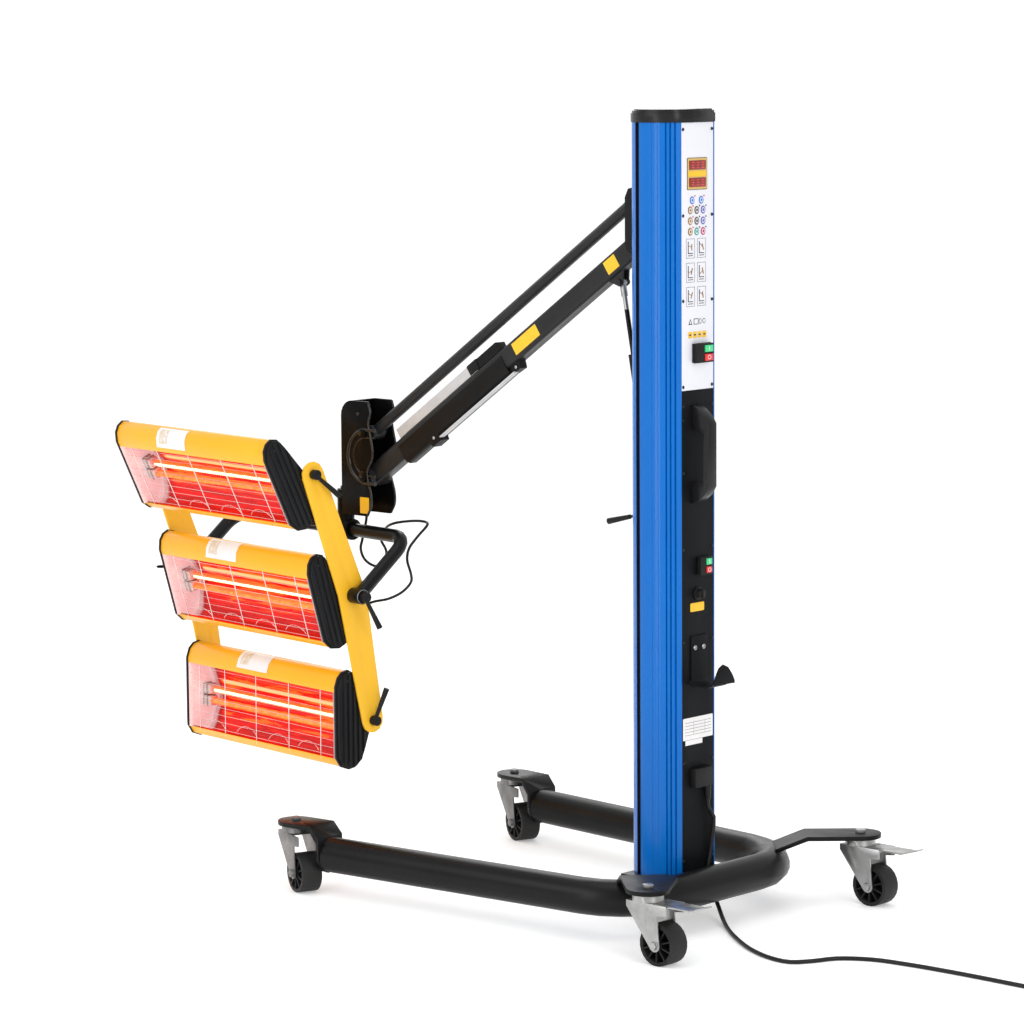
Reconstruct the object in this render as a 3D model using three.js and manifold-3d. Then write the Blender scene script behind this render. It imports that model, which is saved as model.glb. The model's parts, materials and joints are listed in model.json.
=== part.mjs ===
// Mobile infrared paint curing lamp on a castered base.
// Millimetres, +Z up, floor at z = 0. The lamps are toward -X and the control panel faces +X.
import * as THREE from 'three';
import { mergeVertices } from 'three/addons/utils/BufferGeometryUtils.js';
import Module from 'manifold-3d';

const wasm = await Module();
wasm.setup();

// Clearances and counts shared by all pieces
const GAP = 0.3;
const RUNNING_GAP = 0.6;
const OVERRUN = 6;
const WELD = 1;
const ROUND = 16;
const SMALL_ROUND = 10;
const HEX = 6;
const BEND_STEPS = 5;
const ARC_STEPS = 6;
const CORNER_STEPS = 3;
const QUARTER = Math.PI / 2;
const HALF_TURN = Math.PI;
const FULL_TURN = 2 * Math.PI;

// The column's axis is at this distance behind the middle of the whole footprint
const COLUMN_SETBACK = 515;

// Base: one bent tube with a column plate, two front caster brackets and two rear outriggers
const tubeRadius = 38.05;
const tubeWall = 3;
const tubeHeight = 85;
const tubeBendRadius = 150;
const footX = -680;
const footY = 338;
const heelX = 120;
const heelY = 261;
const ventRadius = 6;
const columnPlate = { thickness: 10, front: -62, halfWidth: 98, notchHalf: 8, notchY: 22, notchStart: 66 };
const casterPlate = { top: 149, thickness: 9, halfWidth: 40 };
const footBracket = { reach: 94, kink: -22, endPlate: 6 };
const outrigger = { level: 116, tail: 66, halfWidth: 44, angle: THREE.MathUtils.degToRad(42.8) };
const flare = { tipAlong: 84, tipOut: 70, startAlong: 25, startOut: 51, endOut: 52 };

// Casters
const wheel = { radius: 43, width: 45, sides: 24, hubRadius: 13, rimWall: 7, webWall: 4, spokes: 10, spokeWall: 3 };
const axleRadius = 5;
const axleNut = { radius: 9, height: 6 };
const fork = {
  plate: 3, crownFront: 33, crownRear: 70, trail: 40, eyeRadius: 13, eyeFrom: -2.51, eyeTo: 0.38,
  flangeDrop: 17, waistDrop: 20, sideGap: 3,
};
const raceway = { radius: 32, height: 14.5 };
const kingpin = { radius: 6, headRadius: 11, headHeight: 7 };
const frontSwivel = THREE.MathUtils.degToRad(-20);
const rearKing = { x: 224, y: 344 };
const pedal = { start: 36, kick: 126, tip: 156, rise: 9, thickness: 3, pinRadius: 4, pinAlong: 58, tongueHalf: 11 };

// Column
const columnBottom = 94;
const columnTop = 1648;
const columnHalfX = 65;
const bulgeRadius = 79;
const bulgeCentre = 8.6;
const bulgeSteps = 12;
const columnWall = 5;
const groove = { front: -31, rear: -18, depth: 8 };
const flute = { start: 42, pitch: 7, width: 3, depth: 2.5, count: 3 };
const channel = { halfWidth: 30, depth: 45, lip: 5, lipHalfWidth: 27 };
const panelSeat = { halfWidth: 50.5, depth: 3.4 };
const cap = { overhang: 2, height: 26, shoulderInset: 2.4, crownInset: 7, crownHeight: 8, crownStep: 3, spigot: 12 };

// Rear panels and what they carry (y and z ranges on the panel plane)
const panelThickness = 3;
const panelSeam = 1104;
const mainSwitch = { left: -18, right: 33, low: 1160, high: 1199, proud: 15 };
const lampSwitch = { left: -4, right: 33, low: 722, high: 759, proud: 12 };
const switchSplitShare = 0.44;
const buttonTravel = 3;
const buttonInset = 3;
const buttonProud = 5;
const bow = { near: -21, far: 6 };
const bowProfile = [
  [0, 1026], [14, 1021], [30, 1014], [30, 922], [15, 917], [0, 914], [0, 872], [17, 877], [35, 892], [45, 908],
  [45, 1038], [35, 1052], [17, 1068], [0, 1076],
];
const fuse = { y: -1, z: 684, radius: 10, proud: 14, collarRadius: 14, collarProud: 3, gripHalf: 2.5 };
const hook = { left: -24, right: 26, shelfLeft: -34, low: 503, high: 597, thickness: 3, lipStart: 70 };
const hookShelf = [
  [0, 503], [9, 495], [50, 494], [63, 500], [73, 511], [73, 515], [70, 515], [61, 503], [47, 497], [10, 498], [3, 505],
];
const hookLip = [
  [-34, 503], [31, 501], [31, 507], [24, 520], [10, 537], [-6, 544], [-20, 537], [-30, 521], [-34, 511],
];
const inlet = { left: -26, right: 29, low: 281, high: 321, proud: 16 };
const relief = { y: 21, radius: 7.8, length: 30, tipRadius: 6, sink: 6, neckRadius: 6.6 };

// Arm carrier in the front channel, arm, link and strut
const belowTop = { carrierHigh: 103, armPivot: 253, strutFoot: 778, lever: 804, carrierLow: 822 };
const carrier = {
  low: columnTop - belowTop.carrierLow, high: columnTop - belowTop.carrierHigh, halfWidth: 28.5, thickness: 5,
  earThickness: 4, earInner: 21.5,
};
const armPivot = { x: -90, z: columnTop - belowTop.armPivot };
const linkRise = 98;
const upperEar = { low: -60, high: 143, edge: [[6, -21], [-14, -13], [-19, 0], [-19, 98], [-10, 116], [10, 120]] };
const lowerEar = { low: -16, high: 56, edge: [[0, -11], [-14, 0], [-14, 26], [-6, 38]] };
const armLength = 944.2;
const armSlope = THREE.MathUtils.degToRad(34.73);
const armTube = { width: 38, height: 44, wall: 2.5, corner: 7 };
const armBossRadius = 21;
const pivotPinRadius = 6;
const linkRadius = 12.5;
const linkBore = 9.5;
const linkEyeRadius = 16;
const pivotHeadRadius = 10;
const pivotHead = 5;
const strutFoot = { x: -52, z: columnTop - belowTop.strutFoot };
const strutLug = { along: 83.7, below: 38.1, tab: 4, gapHalf: 7, radius: 9, rootHalf: 24, arcFrom: -2.83, arcTo: -0.31 };
const strut = {
  bodyRadius: 10.5, bodyLength: 292, rodRadius: 5, boreDepth: 276, rodStart: 120, eyeRadius: 9, eyeTop: 8,
  footHalf: 10.5, headHalf: 6, eyeHole: 4.4, ferrule: 30, ferruleRadius: 7,
};
const lever = {
  pivotX: -50, pivotZ: columnTop - belowTop.lever, length: 132, slope: 0.24, rodRadius: 3.2, gripRootRadius: 5,
  gripRadius: 7, gripLength: 62, hubRadius: 8, pinRadius: 2.6,
};
const rail = { start: 528, end: 815, width: 30, height: 22, wall: 2, clipLength: 76, clipHole: 13 };

// Head bracket and the swivel below it, drawn with the wrist pivot at this place
const wristInHead = { x: -865.9869, z: 857.0799 };
const head = { front: -935, rear: -843, low: 771, high: 1026, halfWidth: 37, wall: 4, corner: 34 };
const headRearEdge = [[-12, 0], [0, 24], [0, 48], [-12, 96], [6, 135], [-6, 207], [0, 231], [-6, 255]];
const swivel = { x: -960, high: 808, radius: 19, sleeve: 24, sleeveHalf: 26 };
const swivelPin = { radius: 8, headRadius: 13, head: 6, earHeight: 14 };
const tommy = { hubRadius: 9, hubLength: 16, gripX: -61, gripY: -39, tipX: -190, tipY: -54, rodRadius: 4.2,
  gripRadius: 6.5 };

// Yoke, side bars and lamps, in a frame turned about the swivel axis
const yokeTurn = THREE.MathUtils.degToRad(-7);
const yokeOffset = -96;
const crossBarHeight = 732;
const yokeTubeRadius = 15;
const yokeWall = 2.5;
const yokeHalfWidth = 316;
const yokeBendRadius = 42;
const hub = { forward: 138, height: 617, bossRadius: 17, bossHalf: 15 };
const lampHalf = 290;
const barThickness = 5;
const barMidHalf = 38;
const barEndHalf = 28;
const topLamp = { ahead: 104, above: 273 };
const bottomLamp = { behind: 52, below: 283 };
const lampPlaces = [
  {
    label: 'top', forward: hub.forward + topLamp.ahead, z: hub.height + topLamp.above,
    tilt: THREE.MathUtils.degToRad(25), leverTurn: -0.75,
  },
  { label: 'middle', forward: hub.forward, z: hub.height, tilt: THREE.MathUtils.degToRad(15.5), leverTurn: -1.2 },
  {
    label: 'bottom', forward: hub.forward - bottomLamp.behind, z: hub.height - bottomLamp.below, tilt: 0,
    leverTurn: 1.3,
  },
];
const lampWall = 2.5;
const lampPivot = { depth: 90, height: 103 };
const lampCapLength = 15;
const capRim = 2;
const capRimLength = 5;
const capBodyInset = 2.5;
const capCrownInset = 5;
const capRib = { start: 14, pitch: 13.6, width: 6, height: 3, count: 5 };
const lampWindow = { low: 24, high: 172, depth: 6 };
const studRadius = 6;
const studLug = 15;
const studHead = { radius: 11, length: 8 };
const quartz = { radius: 8, spacing: 27, depth: 44, height: 96, blockHalf: 12, blockLength: 40 };
const clampHub = { radius: 11, length: 16 };
const clampGrip = { radius: 6.5, tipRadius: 4.2, length: 74, lift: 8 };

// Section of a lamp housing as depth behind the front plane and height
const lampSection = [
  [0, 28], [0, 183], [7, 203], [18, 214], [33, 218], [47, 210], [55, 190], [89.5, 80], [78, 48], [66, 17], [50, 3],
  [33, 0], [12, 8],
];
const sectionMiddle = [44, 105];
const sectionHalfDepth = 46;
const sectionHalfHeight = 109;

// Mains cord and lamp lead
const cord = { radius: 4.5, sides: 8, step: 22, tail: 18 };
const coil = { loops: 8, layers: 2, meanRadius: 50, pitch: 10.9, rise: 9.7, steps: 24, sides: 6, x: 965, y: 40 };
const plugShape = {
  radius: 17, length: 42, pinRadius: 2.4, pinLength: 19, pinSpacing: 19, neckRadius: 7, neckEndRadius: 13.6,
  neckLength: 24,
};
const leadRadius = 3;
const leadStep = 18;
const cordFall = [[73.5, 21.5, 235], [79, 34, 212], [76, 33, 175], [74, 30, 141], [74, 22, 108], [74, 22, 76]];
const cordUnder = [[90, 31, 33], [127, 4, 11]];
const cordFloor = [
  [176, -39], [232, -85], [330, -150], [402, -178], [451, -178], [480, -141], [502, -95], [560, -56], [640, -41],
  [760, -33],
];

// Lead from the bracket to the middle lamp with two slack loops
const leadPoints = [
  [-927.7, 8, 800], [-922, 26, 769], [-931, 22, 709], [-933, 18, 687], [-926, 25, 661], [-907, 42, 647],
  [-893, 55, 661], [-891, 56, 683], [-900, 50, 706], [-884, 44, 730], [-832, 24, 752], [-780, 40, 760],
  [-753, 43, 759], [-740, 34, 755], [-747, 6, 728], [-748, -17, 706], [-740, -31, 684], [-723, -37, 655],
  [-712, -48, 640], [-715, -73, 620], [-734, -96, 606], [-766, -107, 598], [-787, -116, 590], [-799, -132, 584],
  [-803, -146, 582],
];

const materials = {
  blackSteel: ['#1d1d1e', 0.55, 0.3],
  greySteel: ['#4a4a4b', 0.5, 0.4],
  zinc: ['#b9b9b9', 0.3, 0.9],
  forkGrey: ['#6b6b6b', 0.4, 0.8],
  tyre: ['#262626', 0.7, 0],
  blue: ['#0a62c6', 0.35, 0.4],
  blackPlastic: ['#1a1a1b', 0.6, 0],
  whiteSheet: ['#e2e0e4', 0.5, 0],
  panelBlack: ['#26282b', 0.6, 0.1],
  red: ['#c8312c', 0.5, 0],
  green: ['#3cae72', 0.5, 0],
  aluminium: ['#c2c2c4', 0.35, 0.9],
  yellow: ['#f8b620', 0.4, 0.2],
  quartzGlow: ['#ff5a2a', 0.2, 0],
  cord: ['#1b1b1b', 0.75, 0],
};

function finish(key) {
  const [color, roughness, metalness] = materials[key];
  return new THREE.MeshStandardMaterial({ color, roughness, metalness });
}

// Solids

function solid(geometry) {
  const bare = geometry.clone();
  bare.deleteAttribute('normal');
  bare.deleteAttribute('uv');
  const merged = mergeVertices(bare, 1e-4);
  return new wasm.Manifold(new wasm.Mesh({
    numProp: 3,
    vertProperties: new Float32Array(merged.attributes.position.array),
    triVerts: new Uint32Array(merged.index.array),
  }));
}

function geometryOf(manifold) {
  const mesh = manifold.getMesh();
  const geometry = new THREE.BufferGeometry();
  geometry.setAttribute('position', new THREE.BufferAttribute(new Float32Array(mesh.vertProperties), 3));
  geometry.setIndex(new THREE.BufferAttribute(new Uint32Array(mesh.triVerts), 1));
  geometry.computeVertexNormals();
  return geometry;
}

function join(first, ...others) {
  return others.reduce((whole, other) => whole.add(other), first);
}

function cut(first, ...others) {
  return others.reduce((whole, other) => whole.subtract(other), first);
}

function blockOf(xs, ys, zs) {
  const geometry = new THREE.BoxGeometry(xs[1] - xs[0], ys[1] - ys[0], zs[1] - zs[0]);
  geometry.translate((xs[0] + xs[1]) / 2, (ys[0] + ys[1]) / 2, (zs[0] + zs[1]) / 2);
  return solid(geometry);
}

// A round bar between two points, with an optional second radius at its far end
function barOf(from, to, radius, sides = ROUND, farRadius = radius) {
  const start = new THREE.Vector3(...from);
  const along = new THREE.Vector3(...to).sub(start);
  const geometry = new THREE.CylinderGeometry(farRadius, radius, along.length(), sides);
  geometry.rotateY(HALF_TURN / sides);
  geometry.translate(0, along.length() / 2, 0);
  const turn = new THREE.Quaternion().setFromUnitVectors(new THREE.Vector3(0, 1, 0), along.normalize());
  geometry.applyQuaternion(turn);
  geometry.translate(...from);
  return solid(geometry);
}

function pathOf(Kind, points) {
  return new Kind(points.map(([a, b]) => new THREE.Vector2(a, b)));
}

function shapeOf(points, holes = []) {
  const shape = pathOf(THREE.Shape, points);
  holes.forEach((hole) => shape.holes.push(pathOf(THREE.Path, hole)));
  return shape;
}

function extruded(points, depth, holes) {
  return new THREE.ExtrudeGeometry(shapeOf(points, holes), { depth, bevelEnabled: false });
}

// An outline in the XY plane raised from low to high
function raised(points, low, high, holes = []) {
  const geometry = extruded(points, high - low, holes);
  geometry.translate(0, 0, low);
  return solid(geometry);
}

// An outline given as (x, z) and drawn out along Y between two places
function drawnAlongY(points, from, to, holes = []) {
  const geometry = extruded(points, to - from, holes);
  geometry.rotateX(QUARTER);
  geometry.translate(0, to, 0);
  return solid(geometry);
}

// An outline given as (y, z) and drawn out along X between two places
function drawnAlongX(points, from, to, holes = []) {
  const geometry = extruded(points, to - from, holes);
  geometry.applyMatrix4(new THREE.Matrix4().makeBasis(
    new THREE.Vector3(0, 1, 0), new THREE.Vector3(0, 0, 1), new THREE.Vector3(1, 0, 0)));
  geometry.translate(from, 0, 0);
  return solid(geometry);
}

function circlePoints(radius, sides, centreA = 0, centreB = 0) {
  return Array.from({ length: sides }, (_, index) => {
    const angle = (index + 1 / 2) * FULL_TURN / sides;
    return [centreA + radius * Math.cos(angle), centreB + radius * Math.sin(angle)];
  });
}

// Points of an arc from one angle to another, both ends kept
function arcPoints(centreA, centreB, radius, from, to, steps) {
  return Array.from({ length: steps + 1 }, (_, index) => {
    const angle = from + (to - from) * index / steps;
    return [centreA + radius * Math.cos(angle), centreB + radius * Math.sin(angle)];
  });
}

function moved(manifold, x, y, z) {
  return manifold.translate([x, y, z]);
}

function turned(manifold, x, y, z) {
  return manifold.rotate([x, y, z].map((angle) => THREE.MathUtils.radToDeg(angle)));
}

// A curve that passes its stations exactly, so that a swept tube has a ring at each
class StationCurve extends THREE.Curve {
  constructor(stations) {
    super();
    this.stations = stations;
  }

  getPoint(t, target = new THREE.Vector3()) {
    const place = t * (this.stations.length - 1);
    const index = Math.min(Math.floor(place), this.stations.length - 2);
    return target.lerpVectors(this.stations[index], this.stations[index + 1], place - index);
  }

  getPointAt(u, target) {
    return this.getPoint(u, target);
  }

  getTangentAt(u) {
    const last = this.stations.length - 1;
    const index = Math.round(u * last);
    const before = this.stations[Math.max(index - 1, 0)];
    const here = this.stations[index];
    const after = this.stations[Math.min(index + 1, last)];
    return here.clone().sub(before).normalize().add(after.clone().sub(here).normalize()).normalize();
  }
}

// Stations along straight runs whose inner corners are rounded to a bend radius
function roundedRoute(corners, bendRadius, bendSteps = BEND_STEPS) {
  const points = corners.map((corner) => new THREE.Vector3(...corner));
  const stations = [points[0]];
  for (let index = 1; index < points.length - 1; index += 1) {
    const back = points[index - 1].clone().sub(points[index]).normalize();
    const ahead = points[index + 1].clone().sub(points[index]).normalize();
    const half = back.angleTo(ahead) / 2;
    const setback = bendRadius / Math.tan(half);
    const middle = back.clone().add(ahead).normalize();
    const centre = points[index].clone().addScaledVector(middle, bendRadius / Math.sin(half));
    const first = points[index].clone().addScaledVector(back, setback).sub(centre);
    const last = points[index].clone().addScaledVector(ahead, setback).sub(centre);
    const axis = first.clone().cross(last).normalize();
    const sweep = HALF_TURN - 2 * half;
    for (let step = 0; step <= bendSteps; step += 1) {
      stations.push(first.clone().applyAxisAngle(axis, sweep * step / bendSteps).add(centre));
    }
  }
  stations.push(points[points.length - 1]);
  return stations;
}

// Evenly spaced stations of a smooth curve through given points
function smoothRoute(points, step) {
  const curve = new THREE.CatmullRomCurve3(points.map((point) => new THREE.Vector3(...point)), false, 'centripetal');
  return curve.getSpacedPoints(Math.round(curve.getLength() / step));
}

// A round section swept along stations
function tubeOf(stations, radius, sides = ROUND) {
  return solid(new THREE.ExtrudeGeometry(shapeOf(circlePoints(radius, sides)), {
    steps: stations.length - 1,
    bevelEnabled: false,
    extrudePath: new StationCurve(stations),
  }));
}

function node(name, manifold, key, parent) {
  const mesh = new THREE.Mesh(geometryOf(manifold), finish(key));
  mesh.name = name;
  parent.add(mesh);
}

function groupAt(parent, x, y, z, turnZ = 0) {
  const group = new THREE.Group();
  group.position.set(x, y, z);
  group.rotation.z = turnZ;
  parent.add(group);
  return group;
}

// Base

const casterPlateUnder = casterPlate.top - casterPlate.thickness;
const tubeCrown = tubeHeight + tubeRadius;
const legTurn = Math.atan2(footY - heelY, heelX - footX);
const frontKing = {
  x: footX - footBracket.reach * Math.cos(legTurn),
  y: footY + footBracket.reach * Math.sin(legTurn),
};

function baseRoute() {
  return roundedRoute([
    [footX, -footY, tubeHeight],
    [heelX, -heelY, tubeHeight],
    [heelX, heelY, tubeHeight],
    [footX, footY, tubeHeight],
  ], tubeBendRadius);
}

function kingpinHole(x) {
  return raised(circlePoints(kingpin.radius + RUNNING_GAP, SMALL_ROUND, x), casterPlateUnder - OVERRUN,
    casterPlate.top + OVERRUN);
}

// Plate over the tube's end, in a frame at the tube's end with +X along the leg
function footBracketSolid() {
  const { top, thickness, halfWidth } = casterPlate;
  const under = casterPlateUnder;
  const front = -footBracket.reach;
  const strip = drawnAlongY([
    [front - halfWidth, under],
    [footBracket.kink - thickness / 2, under],
    [-footBracket.endPlate, tubeCrown - thickness],
    [WELD, tubeCrown - thickness],
    [WELD, tubeCrown + WELD],
    [footBracket.kink, top],
    [front - halfWidth, top],
  ], -halfWidth, halfWidth);
  const outline = [
    ...arcPoints(front, 0, halfWidth, QUARTER, 3 * QUARTER, ROUND / 2),
    [OVERRUN, -halfWidth],
    [OVERRUN, halfWidth],
  ];
  const endPlate = join(
    drawnAlongX(circlePoints(halfWidth, ROUND, 0, tubeHeight), -footBracket.endPlate, WELD),
    blockOf([-footBracket.endPlate, WELD], [-halfWidth, halfWidth], [tubeHeight, tubeCrown]),
  );
  return cut(join(strip.intersect(raised(outline, 0, top + OVERRUN)), endPlate), kingpinHole(front));
}

function baseFrame(parent) {
  const route = baseRoute();
  const bore = tubeOf(route, tubeRadius - tubeWall, SMALL_ROUND);
  const plateTop = columnBottom - GAP;
  const plateZ = [plateTop - columnPlate.thickness, plateTop];
  const notch = blockOf([columnPlate.notchStart, heelX],
    [columnPlate.notchY - columnPlate.notchHalf, columnPlate.notchY + columnPlate.notchHalf],
    [plateZ[0] - OVERRUN, plateZ[1] + OVERRUN]);
  const plate = cut(
    blockOf([columnPlate.front, heelX], [-columnPlate.halfWidth, columnPlate.halfWidth], plateZ), notch);
  const place = (piece, side) => moved(turned(piece, 0, 0, -side * legTurn), footX, side * footY, 0);
  const brackets = [-1, 1].map((side) => place(footBracketSolid(), side));
  const vents = [-1, 1].map((side) => place(
    drawnAlongX(circlePoints(ventRadius, SMALL_ROUND, 0, tubeHeight), -2 * OVERRUN, OVERRUN), side));
  node('base_frame', cut(join(tubeOf(route, tubeRadius), plate, ...brackets), bore, ...vents), 'blackSteel', parent);
}

// Strap from a rear kingpin back to the bend of the base tube
function rearOutrigger(name, side, parent, flared) {
  const { top, thickness } = casterPlate;
  const half = outrigger.halfWidth;
  const tailEnd = outrigger.level + outrigger.tail;
  const strip = drawnAlongY([
    [-half, casterPlateUnder],
    [outrigger.level - thickness / 4, casterPlateUnder],
    [tailEnd, tubeCrown - thickness],
    [tailEnd, tubeCrown],
    [outrigger.level, top],
    [-half, top],
  ], -half, flare.tipOut);
  const flaredEdge = [
    [tailEnd, half - OVERRUN],
    [outrigger.level, flare.endOut],
    [flare.tipAlong, flare.tipOut],
    [flare.startAlong, flare.startOut],
  ];
  const outline = [
    ...arcPoints(0, 0, half, QUARTER, 3 * QUARTER, ROUND / 2),
    [tailEnd, -half],
    ...(flared ? flaredEdge : [[tailEnd, half]]),
  ];
  let strap = cut(strip.intersect(raised(outline, 0, top + OVERRUN)), kingpinHole(0));
  strap = side < 0 ? strap.mirror([0, 1, 0]) : strap;
  strap = moved(turned(strap, 0, 0, HALF_TURN + side * outrigger.angle), rearKing.x, side * rearKing.y, 0);
  node(name, cut(strap, tubeOf(baseRoute(), tubeRadius + GAP)), 'blackSteel', parent);
}

// Casters

const wheelDrop = wheel.radius * Math.cos(HALF_TURN / wheel.sides);
const forkInner = wheel.width / 2 + fork.sideGap;
const crownTop = casterPlateUnder - GAP - raceway.height;
const crownUnder = crownTop - fork.plate;

function casterForkSolid() {
  const outer = forkInner + fork.plate;
  const crown = join(
    blockOf([-fork.crownFront, fork.crownRear], [-outer, outer], [crownUnder, crownTop]),
    raised(circlePoints(raceway.radius, ROUND), crownTop - GAP, crownTop + raceway.height),
  );
  const side = [
    [-fork.crownFront, crownTop - fork.plate / 2],
    [-fork.crownFront, crownUnder - fork.flangeDrop / 2],
    ...arcPoints(fork.trail, wheelDrop, fork.eyeRadius, fork.eyeFrom, fork.eyeTo, ARC_STEPS),
    [fork.trail + fork.eyeRadius / 2, crownUnder - fork.waistDrop],
    [fork.crownRear, crownUnder - fork.flangeDrop],
    [fork.crownRear, crownTop - fork.plate / 2],
  ];
  const legs = [[forkInner, outer], [-outer, -forkInner]].map(([low, high]) => drawnAlongY(side, low, high));
  const acrossAxle = (low, high, radius, sides) => barOf([fork.trail, low, wheelDrop], [fork.trail, high, wheelDrop],
    radius, sides);
  const axle = acrossAxle(-outer, outer, axleRadius, SMALL_ROUND);
  const nuts = [-1, 1].map((end) => acrossAxle(end * (outer - WELD), end * (outer + axleNut.height),
    axleNut.radius, HEX));
  const shank = raised(circlePoints(kingpin.radius, SMALL_ROUND), crownTop, casterPlate.top + 2 * GAP);
  const bolt = raised(circlePoints(kingpin.headRadius, HEX), casterPlate.top + GAP,
    casterPlate.top + GAP + kingpin.headHeight);
  const slot = blockOf([raceway.radius, fork.crownRear + OVERRUN], [-forkInner, forkInner],
    [crownUnder - OVERRUN, crownTop + OVERRUN]);
  return cut(join(crown, ...legs, axle, ...nuts, shank, bolt), slot);
}

function casterWheelSolid() {
  const rimInner = wheel.radius - wheel.rimWall;
  const half = wheel.width / 2;
  const windows = Array.from({ length: wheel.spokes }, (_, index) => {
    const angle = index * FULL_TURN / wheel.spokes;
    const corner = (radius, side) => {
      const lean = side * (HALF_TURN / wheel.spokes - wheel.spokeWall / 2 / radius);
      return [radius * Math.cos(angle + lean), radius * Math.sin(angle + lean)];
    };
    return [corner(rimInner, 1), corner(rimInner, -1), corner(wheel.hubRadius, -1), corner(wheel.hubRadius, 1)];
  });
  // The outline's half step sets a flat facet on the floor
  const body = drawnAlongY(circlePoints(wheel.radius, wheel.sides), -half, half, windows);
  const web = drawnAlongY(circlePoints(rimInner + WELD, wheel.sides), -wheel.webWall / 2, wheel.webWall / 2);
  const bore = drawnAlongY(circlePoints(axleRadius + RUNNING_GAP, SMALL_ROUND), -half - OVERRUN, half + OVERRUN);
  return cut(join(body, web), bore);
}

function brakePedalSolid() {
  const half = forkInner - WELD;
  const pinHalf = forkInner - GAP;
  const under = crownTop - pedal.thickness;
  const plate = drawnAlongY([
    [pedal.start, under],
    [pedal.kick, under],
    [pedal.tip, under + pedal.rise],
    [pedal.tip, crownTop + pedal.rise],
    [pedal.kick, crownTop],
    [pedal.start, crownTop],
  ], -half, half);
  const tipX = [pedal.kick, pedal.tip + OVERRUN];
  const tipZ = [under - OVERRUN, crownTop + pedal.rise + OVERRUN];
  const sides = [[pedal.tongueHalf, half + OVERRUN], [-half - OVERRUN, -pedal.tongueHalf]];
  const pinZ = under - pedal.pinRadius + WELD;
  const pin = barOf([pedal.pinAlong, -pinHalf, pinZ], [pedal.pinAlong, pinHalf, pinZ], pedal.pinRadius, SMALL_ROUND);
  return join(cut(plate, ...sides.map((ys) => blockOf(tipX, ys, tipZ))), pin);
}

function caster(label, king, side, swivelTurn, braked, parent) {
  const group = groupAt(parent, king.x, side * king.y, 0, swivelTurn);
  node(`caster_fork_${label}`, casterForkSolid(), braked ? 'zinc' : 'forkGrey', group);
  node(`caster_wheel_${label}`, casterWheelSolid(), 'tyre', groupAt(group, fork.trail, 0, wheelDrop));
  if (braked) {
    node(`brake_pedal_${label}`, brakePedalSolid(), 'zinc', group);
  }
}

// Column

function bulgeAt(x, grow = 0) {
  return bulgeCentre + Math.sqrt((bulgeRadius + grow) ** 2 - x ** 2);
}

// Flat front and rear with strongly rounded flanks
function columnOutline(grow = 0) {
  const x = columnHalfX + grow;
  const near = Array.from({ length: bulgeSteps + 1 }, (_, index) => {
    const along = x * (2 * index / bulgeSteps - 1);
    return [along, -bulgeAt(along, grow)];
  });
  return [...near, ...near.map(([a, b]) => [a, -b]).reverse()];
}

function columnExtrusion(parent) {
  const beyond = bulgeRadius + bulgeCentre + OVERRUN;
  const tall = (xs, ys) => blockOf(xs, ys, [columnBottom - OVERRUN, columnTop + OVERRUN]);
  const channelBack = -columnHalfX + channel.depth;
  const chamberRear = columnHalfX - panelSeat.depth - columnWall;
  const grooveFloor = bulgeAt(groove.front) - groove.depth;
  const grooveX = [groove.front - columnWall, groove.rear + columnWall];
  const chamber = cut(raised(columnOutline(-columnWall), columnBottom - OVERRUN, columnTop + OVERRUN),
    tall([chamberRear, columnHalfX], [-beyond, beyond]),
    tall([-columnHalfX, channelBack + columnWall], [-channel.halfWidth - columnWall, channel.halfWidth + columnWall]),
    tall(grooveX, [grooveFloor - columnWall, beyond]),
    tall(grooveX, [-beyond, columnWall - grooveFloor]));
  let body = cut(raised(columnOutline(), columnBottom, columnTop), chamber,
    tall([-columnHalfX + channel.lip, channelBack], [-channel.halfWidth, channel.halfWidth]),
    tall([-columnHalfX - OVERRUN, -columnHalfX + channel.lip + WELD], [-channel.lipHalfWidth, channel.lipHalfWidth]),
    tall([columnHalfX - panelSeat.depth, columnHalfX + OVERRUN], [-panelSeat.halfWidth, panelSeat.halfWidth]));
  const slots = [{ start: groove.front, end: groove.rear, floor: grooveFloor }];
  for (let index = 0; index < flute.count; index += 1) {
    const start = flute.start + index * flute.pitch;
    slots.push({ start, end: start + flute.width, floor: bulgeAt(start + flute.width) - flute.depth });
  }
  for (const { start, end, floor } of slots) {
    body = cut(body, tall([start, end], [floor, beyond]), tall([start, end], [-beyond, -floor]));
  }
  node('column_extrusion', body, 'blue', parent);
}

function columnCap(parent) {
  const low = columnTop + GAP;
  const high = low + cap.height;
  const skirtTop = high - cap.crownHeight;
  const chamberFront = -columnHalfX + channel.depth + columnWall;
  const chamberRear = columnHalfX - panelSeat.depth - columnWall;
  node('column_cap', join(
    raised(columnOutline(cap.overhang), low, skirtTop),
    raised(columnOutline(cap.overhang - cap.shoulderInset), skirtTop - WELD, high - cap.crownStep),
    raised(columnOutline(cap.overhang - cap.crownInset), skirtTop - WELD, high),
    blockOf([chamberFront + RUNNING_GAP, chamberRear - RUNNING_GAP], [-channel.halfWidth, channel.halfWidth],
      [low - cap.spigot, low + WELD]),
  ), 'blackPlastic', parent);
}

const panelBack = columnHalfX - panelSeat.depth + GAP;
const panelFace = panelBack + panelThickness;
const seated = panelFace + GAP;

function rearPanels(parent) {
  const half = panelSeat.halfWidth - GAP;
  const opening = blockOf([panelBack - OVERRUN, panelFace + OVERRUN], [inlet.left, inlet.right],
    [inlet.low, inlet.high]);
  node('control_sheet', blockOf([panelBack, panelFace], [-half, half], [panelSeam + GAP, columnTop - GAP]),
    'whiteSheet', parent);
  node('lower_panel', cut(blockOf([panelBack, panelFace], [-half, half], [columnBottom + GAP, panelSeam]), opening),
    'panelBlack', parent);
}

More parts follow.
